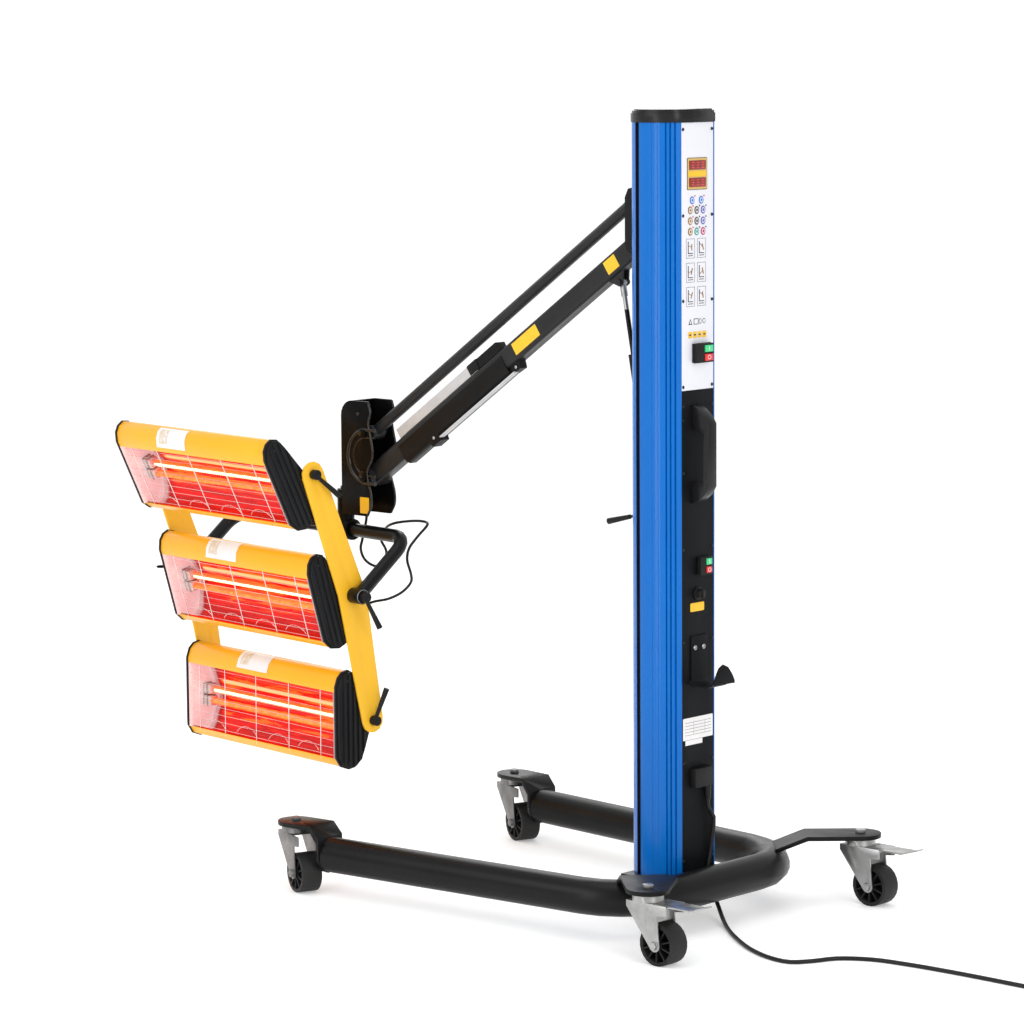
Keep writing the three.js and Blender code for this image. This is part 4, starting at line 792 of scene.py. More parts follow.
@dataclass
class Assembly:
    """Part of the lamp that dresses nodes of the frame and adds pieces.

    Attributes:
        palette: Where the materials come from.
    """

    frame: dict
    palette: Palette

    def close(self, piece: Piece, looks: Sequence[Finish | Material], body: str, slot: str,
              smooth: float = 35.0, glow_map: GlowMap | None = None) -> Object:
        """Finishes a piece with its finishes or materials; the rest is as in Piece.done."""
        materials = [self.palette.solid(look) if isinstance(look, Finish) else look for look in looks]
        return piece.done(materials, body, smooth, glow_map)

    def dress(self, finish: Finish, names: str, bevel: float = 0.8, smooth: float = 38.0) -> Object:
        """Gives frame nodes a finish, on a copy with broken edges unless the bevel is zero.

        Args:
            finish: The finish.
            names: Node names, with spaces between them.
            bevel: Width of the broken edges, in millimetres.
            smooth: Greatest angle that is shaded smooth, in degrees.

        Returns:
            The last dressed object.
        """
        material = self.palette.solid(finish)
        for name in names.split():
            dressed = node = self.frame["nodes"][name]
            if not bevel:
                node.data.materials.clear()
                node.data.materials.append(material)
                smoothen(node.data, smooth)
                continue
            mesh = bmesh.new()
            mesh.from_mesh(node.data)
            bmesh.ops.remove_doubles(mesh, verts=mesh.verts, dist=WELD)
            bmesh.ops.dissolve_limit(mesh, angle_limit=FLAT, verts=mesh.verts, edges=mesh.edges)
            sharp = [edge for edge in mesh.edges if len(edge.link_faces) == 2
                     and edge.calc_face_angle(0.0) > SHARP and edge.calc_length() > 1.2 * bevel * MM]
            bmesh.ops.bevel(mesh, geom=sharp, offset=bevel * MM, clamp_overlap=True, **ROUNDING)
            bmesh.ops.recalc_face_normals(mesh, faces=mesh.faces)
            dressed = link_mesh(name + "_fine", mesh, [material], smooth)
            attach(dressed, node["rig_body"])
            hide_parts(name)
        return dressed

    def recolour(self, piece: Object, finish: Finish, test: Callable[[Vector], bool],
                 cut: tuple[Point, Point] | None = None) -> None:
        """Gives the faces that pass a test another finish.

        Args:
            piece: A dressed object.
            finish: The other finish.
            test: Takes a face's middle.
            cut: Point and normal of a plane that cuts the faces first, in metres.
        """
        if cut:
            mesh = bmesh.new()
            mesh.from_mesh(piece.data)
            geometry = mesh.verts[:] + mesh.edges[:] + mesh.faces[:]
            bmesh.ops.bisect_plane(mesh, geom=geometry, plane_co=cut[0], plane_no=cut[1])
            mesh.to_mesh(piece.data)
            mesh.free()
        piece.data.materials.append(self.palette.solid(finish))
        for polygon in piece.data.polygons:
            if test(polygon.center):
                polygon.material_index = len(piece.data.materials) - 1


# --------------------------------------------------------------------------
# Cords


@dataclass
class Cords(Assembly):
    """The mains cord with its coil and plug, and the lead to the middle lamp."""

    radius: float = 4.5
    lead_radius: float = 3.0
    fall: tuple[Point, ...] = (
        (73.2, 21, 250.7), (73.5, 21.5, 235), (79, 34, 212), (76, 33, 175), (74, 30, 141), (74, 22, 108),
        (74, 22, 76), (90, 31, 33), (127, 4, 11),
    )
    floor: Pairs = (
        (176, -39), (232, -85), (330, -150), (402, -178), (451, -178), (480, -141), (502, -95), (560, -56),
        (640, -41), (760, -33), (906, -31.8), (956, -31.8),
    )
    coil_middle: tuple[float, float] = (965.0, 40.0)
    coil_start: float = 71.8
    pitch: float = 10.9
    rise: float = 9.7
    steps: int = 24
    turns: int = 4
    tail: tuple[float, float] = (9.0, 18.0)
    tail_height: float = 16.67
    lead: tuple[Point, ...] = (
        (-927.7, 8, 800), (-922, 26, 769), (-931, 22, 709), (-933, 18, 687), (-926, 25, 661), (-907, 42, 647),
        (-893, 55, 661), (-891, 56, 683), (-900, 50, 706), (-884, 44, 730), (-832, 24, 752), (-780, 40, 760),
        (-753, 43, 759), (-740, 34, 755), (-747, 6, 728), (-748, -17, 706), (-740, -31, 684),
        (-723, -37, 655), (-712, -48, 640), (-715, -73, 620), (-734, -96, 606), (-766, -107, 598),
        (-787, -116, 590), (-799, -132, 584), (-803, -146, 582),
    )

    def _coil(self) -> list[Vector]:
        """Gives the middle line of the cord, wound in and out again, and its short tail."""
        half = self.steps // 2
        layer = self.turns * self.steps - half // 2
        inner = self.coil_start - self.pitch * layer / self.steps
        spots = [(step, self.coil_start - self.pitch * step / self.steps, 0.0) for step in range(layer + 1)]
        spots += [(layer + step, inner, self.rise * step / half) for step in range(1, half)]
        spots += [(layer + half + step, inner + self.pitch * step / self.steps, self.rise)
                  for step in range(layer + 1)]
        points = []
        for step, radius, height in spots:
            turn = 2 * math.pi * step / self.steps
            points.append(Vector((self.coil_middle[0] + radius * math.sin(turn),
                                  self.coil_middle[1] - radius * math.cos(turn), self.radius + height)))
        last = points[-1].copy()
        heading = last - points[-2]
        heading.z = 0
        heading.normalize()
        for share in self.tail:
            end = last + heading * share
            end.z = self.tail_height
            points.append(end)
        return points

    def build(self) -> None:
        rubber = self.palette.solid(RUBBER)
        route = catmull([*self.fall, *((x, y, self.radius) for x, y in self.floor)], 22.0)
        for point in route:
            point.z = max(point.z, self.radius)
        line = [at(*point) for point in route + self._coil()]
        curve = bpy.data.curves.new("mains_cord", "CURVE")
        curve.dimensions = "3D"
        spline = curve.splines.new("POLY")
        spline.points.add(len(line) - 1)
        for point, given in zip(spline.points, line):
            point.co = (*given, 1.0)
        curve.bevel_depth = self.radius * MM
        curve.bevel_resolution = 3
        curve.use_fill_caps = True
        curve.materials.append(rubber)
        cord = bpy.data.objects.new("mains_cord", curve)
        bpy.context.scene.collection.objects.link(cord)
        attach(cord, "frame")
        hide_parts("mains_cord_run", "mains_cord_coil")
        path = [at(*point) for point in catmull(self.lead, 6.0)]
        piece = Piece("lamp_lead_cable")
        piece.tube(path, self.lead_radius * MM, 10)
        lead = piece.done([rubber], "head", 60)
        lead.parent = None
        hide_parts("lamp_lead")
        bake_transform(lead)


# --------------------------------------------------------------------------
# Studio


@dataclass
class Studio(Assembly):
    """Pale sweep, soft lights and the camera of the photograph.

    Attributes:
        eye: Where the camera stands.
        yaw: Turn of the camera about the vertical.
        pitch: How far it looks down.
        roll: How far it leans.
        focal: Focal length in pixels of the photograph.
        width: Width of the photograph in pixels.
        world: Strength of the even light.
        wide: Half the width of the sweep.
        curve: Where the sweep starts to rise, and the radius of its curve.
        ends: Near end and upper end of the sweep.
        lights: Name, spot, aim, width, height and power of each light.
    """

    eye: Point = (5.5149, -5.8930, 1.8294)
    yaw: float = math.radians(42.785)
    pitch: float = math.radians(7.235)
    roll: float = math.radians(-0.403)
    focal: float = 3773.0
    width: float = 1024.0
    world: float = 0.78
    wide: float = 45.0
    curve: tuple[float, float] = (15.0, 5.0)
    ends: tuple[float, float] = (-45.0, 22.0)
    lights: tuple[tuple[str, Point, Point, float, float, float], ...] = (
        ("key", (-1.5, -5.0, 3.6), (-0.1, 0.0, 0.9), 3.0, 3.0, 62.0),
        ("strip", (0.35, -3.9, 1.0), (0.5, 0.0, 0.85), 0.45, 3.0, 30.0),
        ("fill", (5.5, -1.4, 2.4), (0.3, 0.0, 0.9), 2.4, 2.4, 88.0),
        ("rim", (-3.5, 3.2, 3.4), (0.0, 0.0, 1.0), 2.4, 2.4, 46.0),
        ("top", (0.4, -0.6, 5.2), (0.0, 0.0, 0.4), 3.5, 3.5, 44.0),
    )

    def build(self) -> None:
        """Sets up the sweep, the lights, the world and the camera."""
        self._sweep()
        world = bpy.data.worlds.new("studio")
        world.use_nodes = True
        sky = world.node_tree.nodes["Background"].inputs
        sky[0].default_value = (1, 1, 1, 1)
        sky[1].default_value = self.world
        bpy.context.scene.world = world
        for light in self.lights:
            self._light(*light)
        self._camera()
        bpy.context.scene.view_settings.view_transform = "Standard"

    def _sweep(self) -> None:
        """Adds the floor that curves up into the backdrop."""
        start, radius = self.curve
        turns = (math.pi / 2 * step / 10 for step in range(1, 11))
        profile = [(self.ends[0], 0.0), (start, 0.0),
                   *((start + radius * math.sin(turn), radius - radius * math.cos(turn)) for turn in turns),
                   (start + radius, self.ends[1])]
        ahead = Vector((-math.sin(self.yaw), math.cos(self.yaw), 0))
        side = Vector((math.cos(self.yaw), math.sin(self.yaw), 0))
        sweep = Piece("studio_sweep")
        bases = (ahead * distance + Vector((0, 0, height)) for distance, height in profile)
        sweep.sheet([[base - side * self.wide, base + side * self.wide] for base in bases])
        sweep.done([self.palette.solid(FLOOR)], None, smooth=60)

    @staticmethod
    def _light(name: str, spot: Point, aim: Point, width: float, height: float, power: float) -> None:
        """Adds a soft rectangular light that looks from a spot at an aim."""
        data = bpy.data.lights.new(name, "AREA")
        data.shape = "RECTANGLE"
        data.size = width
        data.size_y = height
        data.energy = power
        lamp = bpy.data.objects.new(name, data)
        lamp.location = spot
        lamp.rotation_euler = (Vector(aim) - Vector(spot)).to_track_quat("-Z", "Y").to_euler()
        bpy.context.scene.collection.objects.link(lamp)

    def _camera(self) -> None:
        """Adds the camera of the photograph."""
        ahead = Vector((-math.sin(self.yaw) * math.cos(self.pitch), math.cos(self.yaw) * math.cos(self.pitch),
                        -math.sin(self.pitch)))
        level = Vector((math.cos(self.yaw), math.sin(self.yaw), 0))
        plumb = level.cross(ahead)
        right = level * math.cos(self.roll) + plumb * math.sin(self.roll)
        up = plumb * math.cos(self.roll) - level * math.sin(self.roll)
        data = bpy.data.cameras.new("camera")
        data.sensor_width = 36.0
        data.lens = self.focal / self.width * data.sensor_width
        data.clip_end = 60
        camera = bpy.data.objects.new("camera", data)
        camera.matrix_world = Matrix.Translation(Vector(self.eye)) @ (
            Matrix((right, up, -ahead)).transposed().to_4x4())
        bpy.context.scene.collection.objects.link(camera)
        bpy.context.scene.camera = camera


# --------------------------------------------------------------------------
# Column and its panels


PANEL_FACE = 65.2  # where the panels' face stands along the drawing's X


def facing(x: float, y: float, z: float) -> Matrix:
    """Gives a frame in millimetres that faces the panels' way.

    Args:
        x: Place of the origin along the row frame's X, in metres.
        y: Place along Y.
        z: Place along Z.

    Returns:
        A matrix with X across, Y up and Z outward.
    """
    return frame_of((x, y, z), (0, 1, 0), (1, 0, 0))


def on_panel(x: float = 0.0, y: float = 0.0, out: float = 0.0) -> Matrix:
    """Gives the frame of the panels' face, moved across, up and outward in millimetres."""
    return facing(*at(PANEL_FACE + out, 0, 0)) @ Matrix.Translation((x, y, 0))


@dataclass
class Column(Assembly):
    """Blue column with its cap and the two rear panels.

    Attributes:
        flutes: Place of each fine flute along X, and how far out the crowned face stands there.
        flute_half: Half the width of a flute.
        flute_depth: How far a flute reaches into the face and out of it.
        flute_end: How far it stops from the column's ends.
        groove: Where the side grooves start and end along X.
        groove_in: Distance from the middle plane over which a face belongs to them, in metres.
        channel: Where the open front channel starts and ends along X.
        channel_half: Half its width, in metres.
        sheet_screws: Heights of the screws beside the white sheet.
        panel_screws: Heights of the screws beside the black panel.
    """

    flutes: Pairs = ((15.0, 86.05), (21.5, 84.4), (28.0, 82.3))
    flute_half: float = 0.6
    flute_depth: tuple[float, float] = (0.4, 0.12)
    flute_end: float = 4.0
    groove: tuple[float, float] = (-31.5, -17.5)
    groove_in: float = 0.04
    channel: tuple[float, float] = (-72.0, -20.0)
    channel_half: float = 0.0302
    sheet_screws: tuple[float, ...] = (1634.0, 1460.0, 1287.0, 1112.0)
    panel_screws: tuple[float, ...] = (1072.0, 1044.0, 936.0, 778.0, 586.0, 334.0, 128.0)

    def build(self) -> None:
        """Dresses the column and adds screws, plates and labels."""
        column = self.dress(BLUE, "column_extrusion", bevel=0)
        # Painted shade: faces lining the side grooves and the front channel get the dark groove colour.
        column.data.materials.append(self.palette.solid(GROOVE_PAINTED_SHADE))
        for polygon in column.data.polygons:
            if abs(polygon.normal.z) < 0.5 and self._is_dark(polygon.center):
                polygon.material_index = 1
        self.dress(PLASTIC_SATIN, "column_cap")
        self.dress(SHEET_WHITE, "control_sheet")
        self.dress(PANEL, "lower_panel cord_hook")
        self.dress(STEEL_BLACK, "arm_carrier")
        self._screws()
        self._labels()
        self._flutes()

    def _is_dark(self, middle: Vector) -> bool:
        """Tells whether a face lines a side groove or the open front channel, where shade is painted dark."""
        groove, channel = (tuple(at(x, 0, 0).x for x in ends) for ends in (self.groove, self.channel))
        return (groove[0] < middle.x < groove[1] and abs(middle.y) > self.groove_in) or (
            channel[0] < middle.x < channel[1] and abs(middle.y) < self.channel_half)

    def _screws(self) -> None:
        """Adds the rows of black screws along both panels and the bright ones of the hook."""
        piece = Piece("panel_screws", on_panel())
        for heights, places, radius in ((self.sheet_screws, (-46.0, 45.0), 3.4),
                                        (self.panel_screws, (-46.0, 45.5), 3.2)):
            for z in heights:
                for x in places:
                    screw(piece, x, z, 0, radius)
        self.close(piece, [SCREW_BLACK], "frame", "panel_black")
        hook = Piece("hook_screws", on_panel(out=3.0))
        for x in (-13.0, 14.0):
            screw(hook, x, 572.0, 0, 5.2)
        self.close(hook, [ZINC], "frame", "zinc")

    def _labels(self) -> None:
        """Adds the blank plates: yellow under the fuse and white over the inlet."""
        yellow = Piece("fuse_label", on_panel(-2.5, 656))
        yellow.prism(rounded(44, 18, 3), 0, 0.4, 0.12)
        yellow.prism(rounded(39, 13, 2), 0.4, 0.5, 0.0, 1)
        self.close(yellow, [LABEL_YELLOW, LABEL_YELLOW], "frame", "panel_black")
        white = Piece("rating_plate", on_panel(-0.5, 404))
        white.prism(rounded(95, 46, 2), 0, 0.35, 0.1)
        white.prism(box_of(-40, -34, 14, -23.6), 0, 0.3, 0.1)
        for row in range(5):
            y = 13 - row * 6.5
            white.prism(box_of(-42, y - 0.35, 42, y + 0.35), 0.35, 0.45, 0, 1)
        for x in (-14.0, 22.0):
            white.prism(box_of(x, -13, x + 0.6, 13), 0.35, 0.45, 0, 1)
        self.close(white, [LABEL_WHITE, INK], "frame", "white_sheet")

    def _flutes(self) -> None:
        """Adds the finest flutes of both side faces, in a darker blue that paints their shade."""
        low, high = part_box("column_extrusion")
        sunk, proud = self.flute_depth
        for name, side in (("near", -1), ("far", 1)):
            piece = Piece(f"fine_flutes_{name}")
            for x, reach in self.flutes:
                start = at(x - self.flute_half, side * (reach - sunk), low.z / MM + self.flute_end)
                end = at(x + self.flute_half, side * (reach + proud), high.z / MM - self.flute_end)
                piece.box(start, end)
            self.close(piece, [FLUTE_PAINTED_SHADE], "frame", "column_blue")


@dataclass
class ControlFace(Assembly):
    """Printed face of the control sheet: display, keys and symbols.

    Attributes:
        rows: Height, places and finishes of the keys of each row.
        slants: Lean and reach of the lamp in each diagram.
    """

    rows: tuple[tuple[float, tuple[float, ...], tuple[Finish, ...]], ...] = (
        (1490.5, (-17.5, 11.0), (KEY_BLUE, KEY_BLUE)),
        (1470.5, (-23.5, -3.0, 17.0), (KEY_GOLD, KEY_DARK, KEY_VIOLET)),
        (1448.5, (-23.5, -3.0, 17.0), (KEY_GOLD, KEY_DARK, KEY_VIOLET)),
        (1427.0, (-23.5, -3.0, 17.0), (KEY_GOLD, KEY_TEAL, KEY_PINK)),
    )
    slants: Pairs = (
        (0.0, 5.0), (6.0, 9.0), (-5.0, 0.0), (4.0, -4.0), (-6.0, 6.0), (3.0, 8.0))

    def build(self) -> None:
        """Adds everything printed or set on the white sheet."""
        self._display()
        self._keys()
        self._diagrams()
        self._signs()

    def _display(self) -> None:
        """Adds the framed pair of red displays."""
        piece = Piece("display_module", on_panel(-1.7, 1544))
        piece.prism(rounded(63, 65, 2), 0, 0.6, 0.2, 0)
        piece.prism(rounded(60, 62, 1.5), 0.6, 0.8, 0.0, 1)
        for y in (17.5, -17.5):
            piece.prism(rounded(52, 19, 1.5, 0, y), 0.8, 2.4, 0.6, 2)
            for x in (-15, 0, 15):
                for z in (y - 5, y, y + 5):
                    piece.box((x - 3.2, z - 0.5, 2.4), (x + 3.2, z + 0.5, 2.6), 0, 3)
        piece.prism(rounded(55, 11, 1), 0.8, 1.1, 0.1, 4)
        segment = self.palette.glow("display_segments", (0.35, 0.01, 0.01), (1.0, 0.06, 0.03), 0.5,
                                    (300, 300, 300))
        self.close(piece, [RIM, GOLD, SCREEN, segment, LABEL_YELLOW], "frame", "white_sheet",
                   glow_map=lambda point: 1.0)

    def _keys(self) -> None:
        """Adds the raised oval keys of the membrane and their small lights."""
        finishes = [KEY_BLUE, KEY_GOLD, KEY_DARK, KEY_VIOLET, KEY_TEAL, KEY_PINK, INK, LABEL_WHITE, RED]
        piece = Piece("membrane_keys", on_panel())
        for y, places, colours in self.rows:
            for x, colour in zip(places, colours):
                tint = finishes.index(colour)
                light = finishes.index(RED if colour in (KEY_BLUE, KEY_GOLD) else INK)
                piece.prism(oval(x, y, 7.0, 8.0, 24), 0, 0.9, 0.5, tint)
                piece.prism(oval(x, y, 4.4, 5.2, 20), 0.9, 1.05, 0.1, finishes.index(LABEL_WHITE))
                piece.prism(oval(x, y, 3.0, 3.4, 16), 1.05, 1.15, 0.05, tint)
                piece.prism(oval(x + 9.0, y + 8.5, 1.7, 1.7, 12), 0, 0.7, 0.3, light)
        self.close(piece, finishes, "frame", "white_sheet")

    def _diagrams(self) -> None:
        """Adds six outlined boxes, each with a plain generic diagram of a lamp and a panel."""
        piece = Piece("guide_boxes", on_panel())
        for index, (lean, reach) in enumerate(self.slants):
            middle = Vector(((-22.5, 12.5)[index % 2], (1393.0, 1344.0, 1295.0)[index // 2]))
            for x0, y0, x1, y1, half, tint in (
                (-13, -19.5, 13, -19.5, 0.3, 0), (-13, 19.5, 13, 19.5, 0.3, 0),
                (-13, -19.5, -13, 19.5, 0.3, 0), (13, -19.5, 13, 19.5, 0.3, 0),
                (-7, -10, -7, 14, 1.1, 0), (-7, -10, 8, -10, 0.8, 0),
                (4 + lean * 0.4, -4, 4 - lean * 0.4, 9, 1.5, 1),
                (-5, reach, 3, 3, 0.5, 0), (-8, -14.5, 8, -14.5, 0.7, 2),
            ):
                start, end = middle + Vector((x0, y0)), middle + Vector((x1, y1))
                side = (end - start).orthogonal().normalized() * half
                piece.prism([start + side, start - side, end - side, end + side], 0, 0.12, 0.0, tint)
        self.close(piece, [INK, KEY_GOLD, KEY_DARK], "frame", "white_sheet")

    def _signs(self) -> None:
        """Adds plain geometric signs and four small yellow squares over the switch."""
        piece = Piece("sheet_signs", on_panel())
        outlines = [([(-29, 1238), (-17, 1238), (-23, 1250)], [(-26, 1240), (-20, 1240), (-23, 1246.5)]),
                    (rounded(15, 12, 1, -5, 1244), rounded(12, 9, 1, -5, 1244))]
        outlines += [(oval(x, 1244, 4.5, 5.5, 18), oval(x, 1244, 3.2, 4.2, 18)) for x in (8.0, 20.0)]
        for outer, inner in outlines:
            piece.prism(outer, 0, 0.12, 0, 0)
            piece.prism(inner, 0.12, 0.2, 0, 2)
        for x in (-24.0, -9.0, 6.0, 21.0):
            piece.prism(rounded(12, 13, 1.5, x, 1217), 0, 0.25, 0.08, 1)
            piece.prism(rounded(7, 3, 1, x, 1217), 0.25, 0.35, 0, 0)
        self.close(piece, [INK, LABEL_YELLOW, SHEET_WHITE], "frame", "white_sheet")


@dataclass
class Switches(Assembly):
    """Both switch units with their marks, the handle, fuse holder and inlet."""

    def build(self) -> None:
        """Dresses the housings and puts the generic on and off marks on the buttons."""
        self.dress(PLASTIC_BLACK, "main_switch_housing lamp_switch_housing fuse_cap inlet_socket "
                                  "cord_strain_relief mains_plug")
        self.dress(PLASTIC_SATIN, "bow_handle")
        self.dress(RED, "main_off_button lamp_off_button", 0.5)
        self.dress(GREEN, "main_on_button lamp_on_button", 0.5)
        for unit in ("main", "lamp"):
            for state in ("on", "off"):
                self._mark(unit, state)
        self._frames()

    def _mark(self, unit: str, state: str) -> None:
        """Adds a bar for on or a ring for off to one button."""
        low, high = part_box(f"{unit}_{state}_button")
        middle = (low + high) / 2
        piece = Piece(f"{unit}_{state}_mark", facing(high.x, middle.y, middle.z))
        if state == "on":
            piece.box((-0.8, -4.2, 0), (0.8, 4.2, 0.35), 0.15)
        else:
            piece.tube([(x, y, 0.05) for x, y in oval(0, 0, 4.4, 3.9, 24)], 0.55, 8, closed=True)
        self.close(piece, [LABEL_WHITE], f"{unit}_{state}", "white_sheet")

    def _frames(self) -> None:
        """Adds the seam lip round each switch body and the inlet's flange screws."""
        piece = Piece("switch_seams")
        off = Vector((0, 0.0004, 0.0004))
        for node in ("main_switch_housing", "lamp_switch_housing"):
            low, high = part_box(node)
            start, end = low - off, high + off
            corners = box_of(start.y, start.z, end.y, end.z)
            piece.tube([(low.x + 0.006, y, z) for y, z in corners], 0.0007, 8, closed=True)
        self.close(piece, [PLASTIC_BLACK], "frame", "black_plastic")
        low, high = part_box("inlet_socket")
        inlet = Piece("inlet_screws", facing(low.x + 0.0002, 0, 0))
        for x in (-34.0, 36.0):
            screw(inlet, x, (low.z + high.z) / 2 / MM, 0, 3.0)
        self.close(inlet, [SCREW_BLACK], "frame", "panel_black")


# --------------------------------------------------------------------------
# Lamps


@dataclass(frozen=True)
class LampPlace:
    """Where one lamp hangs in the yoke.

    Attributes:
        label: Which lamp it is.
        forward: Distance of its pivot in front of the swivel.
        height: Height of its pivot.
        tilt: Rest tilt, in degrees.
        sticker: Where its blank label starts and ends.
    """

    label: Label
    forward: float
    height: float
    tilt: float
    sticker: tuple[float, float]


LAMP_PLACES = (
    LampPlace(Label.TOP, 242, 890, 25.0, (-122, -14)),
    LampPlace(Label.MIDDLE, 138, 617, 15.5, (-100, 14)),
    LampPlace(Label.BOTTOM, 86, 334, 0.0, (-88, 26)),
)
SWIVEL = (-960, 0, 732)
SWIVEL_TURN = math.radians(-7)


def yoke_frame() -> Matrix:
    """Gives the yoke's frame on the swivel axis, in millimetres."""
    return (Matrix.Translation(at(*SWIVEL)) @ Matrix.Rotation(SWIVEL_TURN, 4, "Z")
            @ Matrix.Scale(MM, 4) @ Matrix.Translation((-96, 0, 0)))


def smoothstep(low: float, high: float, value: float) -> float:
    """Rises smoothly from zero at low to one at high."""
    share = min(max((value - low) / (high - low), 0.0), 1.0)
    return share * share * (3 - 2 * share)


def bell(value: float, middle: float, spread: float) -> float:
    """Gives one at the middle and falls off to both sides."""
    return math.exp(-(((value - middle) / spread) ** 2))


def spaced(start: float, end: float, steps: int) -> list[float]:
    """Gives evenly spaced values from start to end."""
    return [start + (end - start) * step / steps for step in range(steps + 1)]


@dataclass
class LampUnit(Assembly):
    """Inside of one lamp: reflector, glowing tubes, wire grille and small parts.

    Attributes:
        place: Where the lamp hangs.
        tube_height: Height of the tubes' middle in the lamp's own frame.
        tube_depth: Depth of the tubes behind the front.
        spacing: Distance between both tubes.
        image: Height of the upper tube's painted mirror image seen level, and how far it sinks per slope.
        view_pitch: How far the photograph looks down, in degrees.
        trough: Depth and height along the mirror's section.
        wrap: Depth and height along the shell's upper edge, where the label sticks.
        matrix: The lamp's own frame, in millimetres.
    """

    place: LampPlace
    tube_height: float = 96.0
    tube_depth: float = 44.0
    spacing: float = 27.0
    image: tuple[float, float] = (130.0, 36.0)
    view_pitch: float = 7.2
    trough: Pairs = (
        (7.0, 26.5), (13, 18), (30, 8), (46, 12), (58, 24), (67, 46), (79, 74), (82, 84), (74, 112),
        (62, 146), (50, 176), (43, 196), (34, 207), (22, 204), (12, 192), (7.5, 174),
    )
    wrap: Pairs = (
        (-0.35, 184.0), (2.6, 192.6), (6.6, 203.4), (11.8, 208.9), (17.7, 214.6), (24.0, 216.4),
        (29.0, 217.5),
    )
    matrix: Matrix = field(init=False)

    def __post_init__(self) -> None:
        """Works out the lamp's own frame."""
        drop = Matrix.Translation((0, -self.place.forward, self.place.height - SWIVEL[2]))
        turn = Matrix.Rotation(math.radians(self.place.tilt), 4, "X")
        self.matrix = yoke_frame() @ drop @ turn @ Matrix.Translation((0, -90, -103))

    def _start(self, part: str) -> Piece:
        """Starts a piece in the lamp's own frame, named after the lamp."""
        return Piece(f"{part}_{self.place.label.value}", self.matrix)

    def _close(self, piece: Piece, looks: Sequence[Finish | Material], slot: str, smooth: float = 60.0,
               glow_map: GlowMap | None = None) -> Object:
        """Finishes a piece that moves with the lamp."""
        return self.close(piece, looks, f"lamp_{self.place.label.value}", slot, smooth, glow_map)

    def _painted_reflection(self, point: Vector) -> float:
        """Gives the reflector's painted reflection of the tubes at a point of the lamp's own frame."""
        # Painted reflection: a broad red glow over the mirror, a bright streak where the upper tube's mirror
        # image is seen, and a weaker streak lower down.
        level, sink = self.image
        image = level - sink * math.tan(math.radians(self.view_pitch + self.place.tilt))
        inside = smoothstep(-246, -238, point.x)
        wide = smoothstep(-262, -222, point.x) * (0.16 + 0.6 * bell(point.z, self.tube_height + 8, 88.0))
        streak = bell(point.z, image, 5.0) * inside if point.y > 40 else 0.0
        return wide + streak * 1.1 + 0.27 * bell(point.z, 52.0, 6.0) * inside

    def build(self) -> None:
        """Makes every piece of the lamp."""
        label = self.place.label.value
        self.dress(YELLOW, f"lamp_shell_{label}", 0.5)
        self.dress(PLASTIC_BLACK, f"lamp_cap_{label}_right lamp_cap_{label}_left clamp_lever_{label}")
        self._reflector()
        self._tubes()
        self._holders()
        self._grille()
        self._sticker()
        self._screws()

    def _reflector(self) -> None:
        """Adds the mirror trough with its painted reflection of the tubes, and its two end plates with their
        lips, brightened by painted glow.
        """
        smooth = catmull([(*point, 0.0) for point in self.trough], 2.5)
        piece = self._start("reflector")
        piece.sheet([[(x, point.x, point.y) for x in spaced(-270, 270, 40)] for point in smooth])
        self._close(piece, [self.palette.reflector()], "lamp_yellow", glow_map=self._painted_reflection)
        ends = self._start("end_plates")
        for side in SIDES:
            x = side * 269.0
            ring = [Vector((x, point.x, point.y)) for point in [*smooth, smooth[0]]]
            hub = Vector((x - side * 3, 36.0, 104.0))
            ends.sheet([ring, [(point + hub) / 2 for point in ring], [hub] * len(ring)])
            heights = spaced(24.0, 172.8, 12)
            ends.sheet([[(side * 271.2, -1.8, z) for z in heights], [(x, 9.0, z) for z in heights]])
        bmesh.ops.remove_doubles(ends.mesh, verts=ends.mesh.verts, dist=0.01)
        self._close(ends, [LINER], "zinc")

    def _tubes(self) -> None:
        """Adds the upper tube with its lit filament and the dimmer lower one."""
        glass = self.palette.glow("hot_glass", (0.9, 0.012, 0.006), (1.0, 0.13, 0.02), 1.3, (18, 150, 150))
        filament = self.palette.glow("filament", (1.0, 0.42, 0.14), (1.0, 0.74, 0.40), 2.6, (60, 60, 60))
        ember = self.palette.glow("second_filament", (0.9, 0.05, 0.01), (1.0, 0.20, 0.04), 1.2, (60, 60, 60))
        piece = self._start("quartz_tubes")
        right = 236.0
        for side, left, lit in ((-1, -246.0, 2), (1, -225.0, 1)):
            z = self.tube_height + side * self.spacing / 2
            for radius, bulge, depth, tint in ((7.6, 0.35, 0.0, 0), (3.6, 0.0, 5.2, lit)):
                path = [(x, self.tube_depth - depth, z) for x in spaced(left, right, 60)]
                radii = [radius + bulge * math.cos(part * math.pi / 3) for part in range(len(path))]
                piece.tube(path, radii, 14, tint)
            coil = [(x, self.tube_depth - 9.4, z + 1.9 * math.sin(part * math.pi / 3))
                    for part, x in enumerate(spaced(left + 10, 235, 420))]
            piece.tube(coil, 1.1, 5, lit)
        self._close(piece, [glass, filament, ember], "quartz",
                    glow_map=lambda point: smoothstep(-250, -222, point.x) * 0.9 + 0.12)

    def _holders(self) -> None:
        """Adds the ceramic holders with their zinc bands, in place of the CAD's tubes."""
        holder = self._start("ceramic_holders")
        deep, middle = self.tube_depth, self.tube_height
        for side in SIDES:
            for tube in SIDES:
                z = middle + tube * self.spacing / 2
                holder.box((side * 236, deep - 11, z - 11), (side * 262, deep + 11, z + 11), 2.0, 0)
                holder.box((side * 246, deep - 12.4, z - 12.4), (side * 250, deep + 12.4, z + 12.4), 0.8, 1)
            holder.box((side * 262, deep - 9, middle - 26), (side * 268, deep + 14, middle + 26), 1.0, 1)
        blocks = self._close(holder, [CERAMIC, ZINC], "quartz", 35)
        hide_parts(f"quartz_tube_{self.place.label.value}")

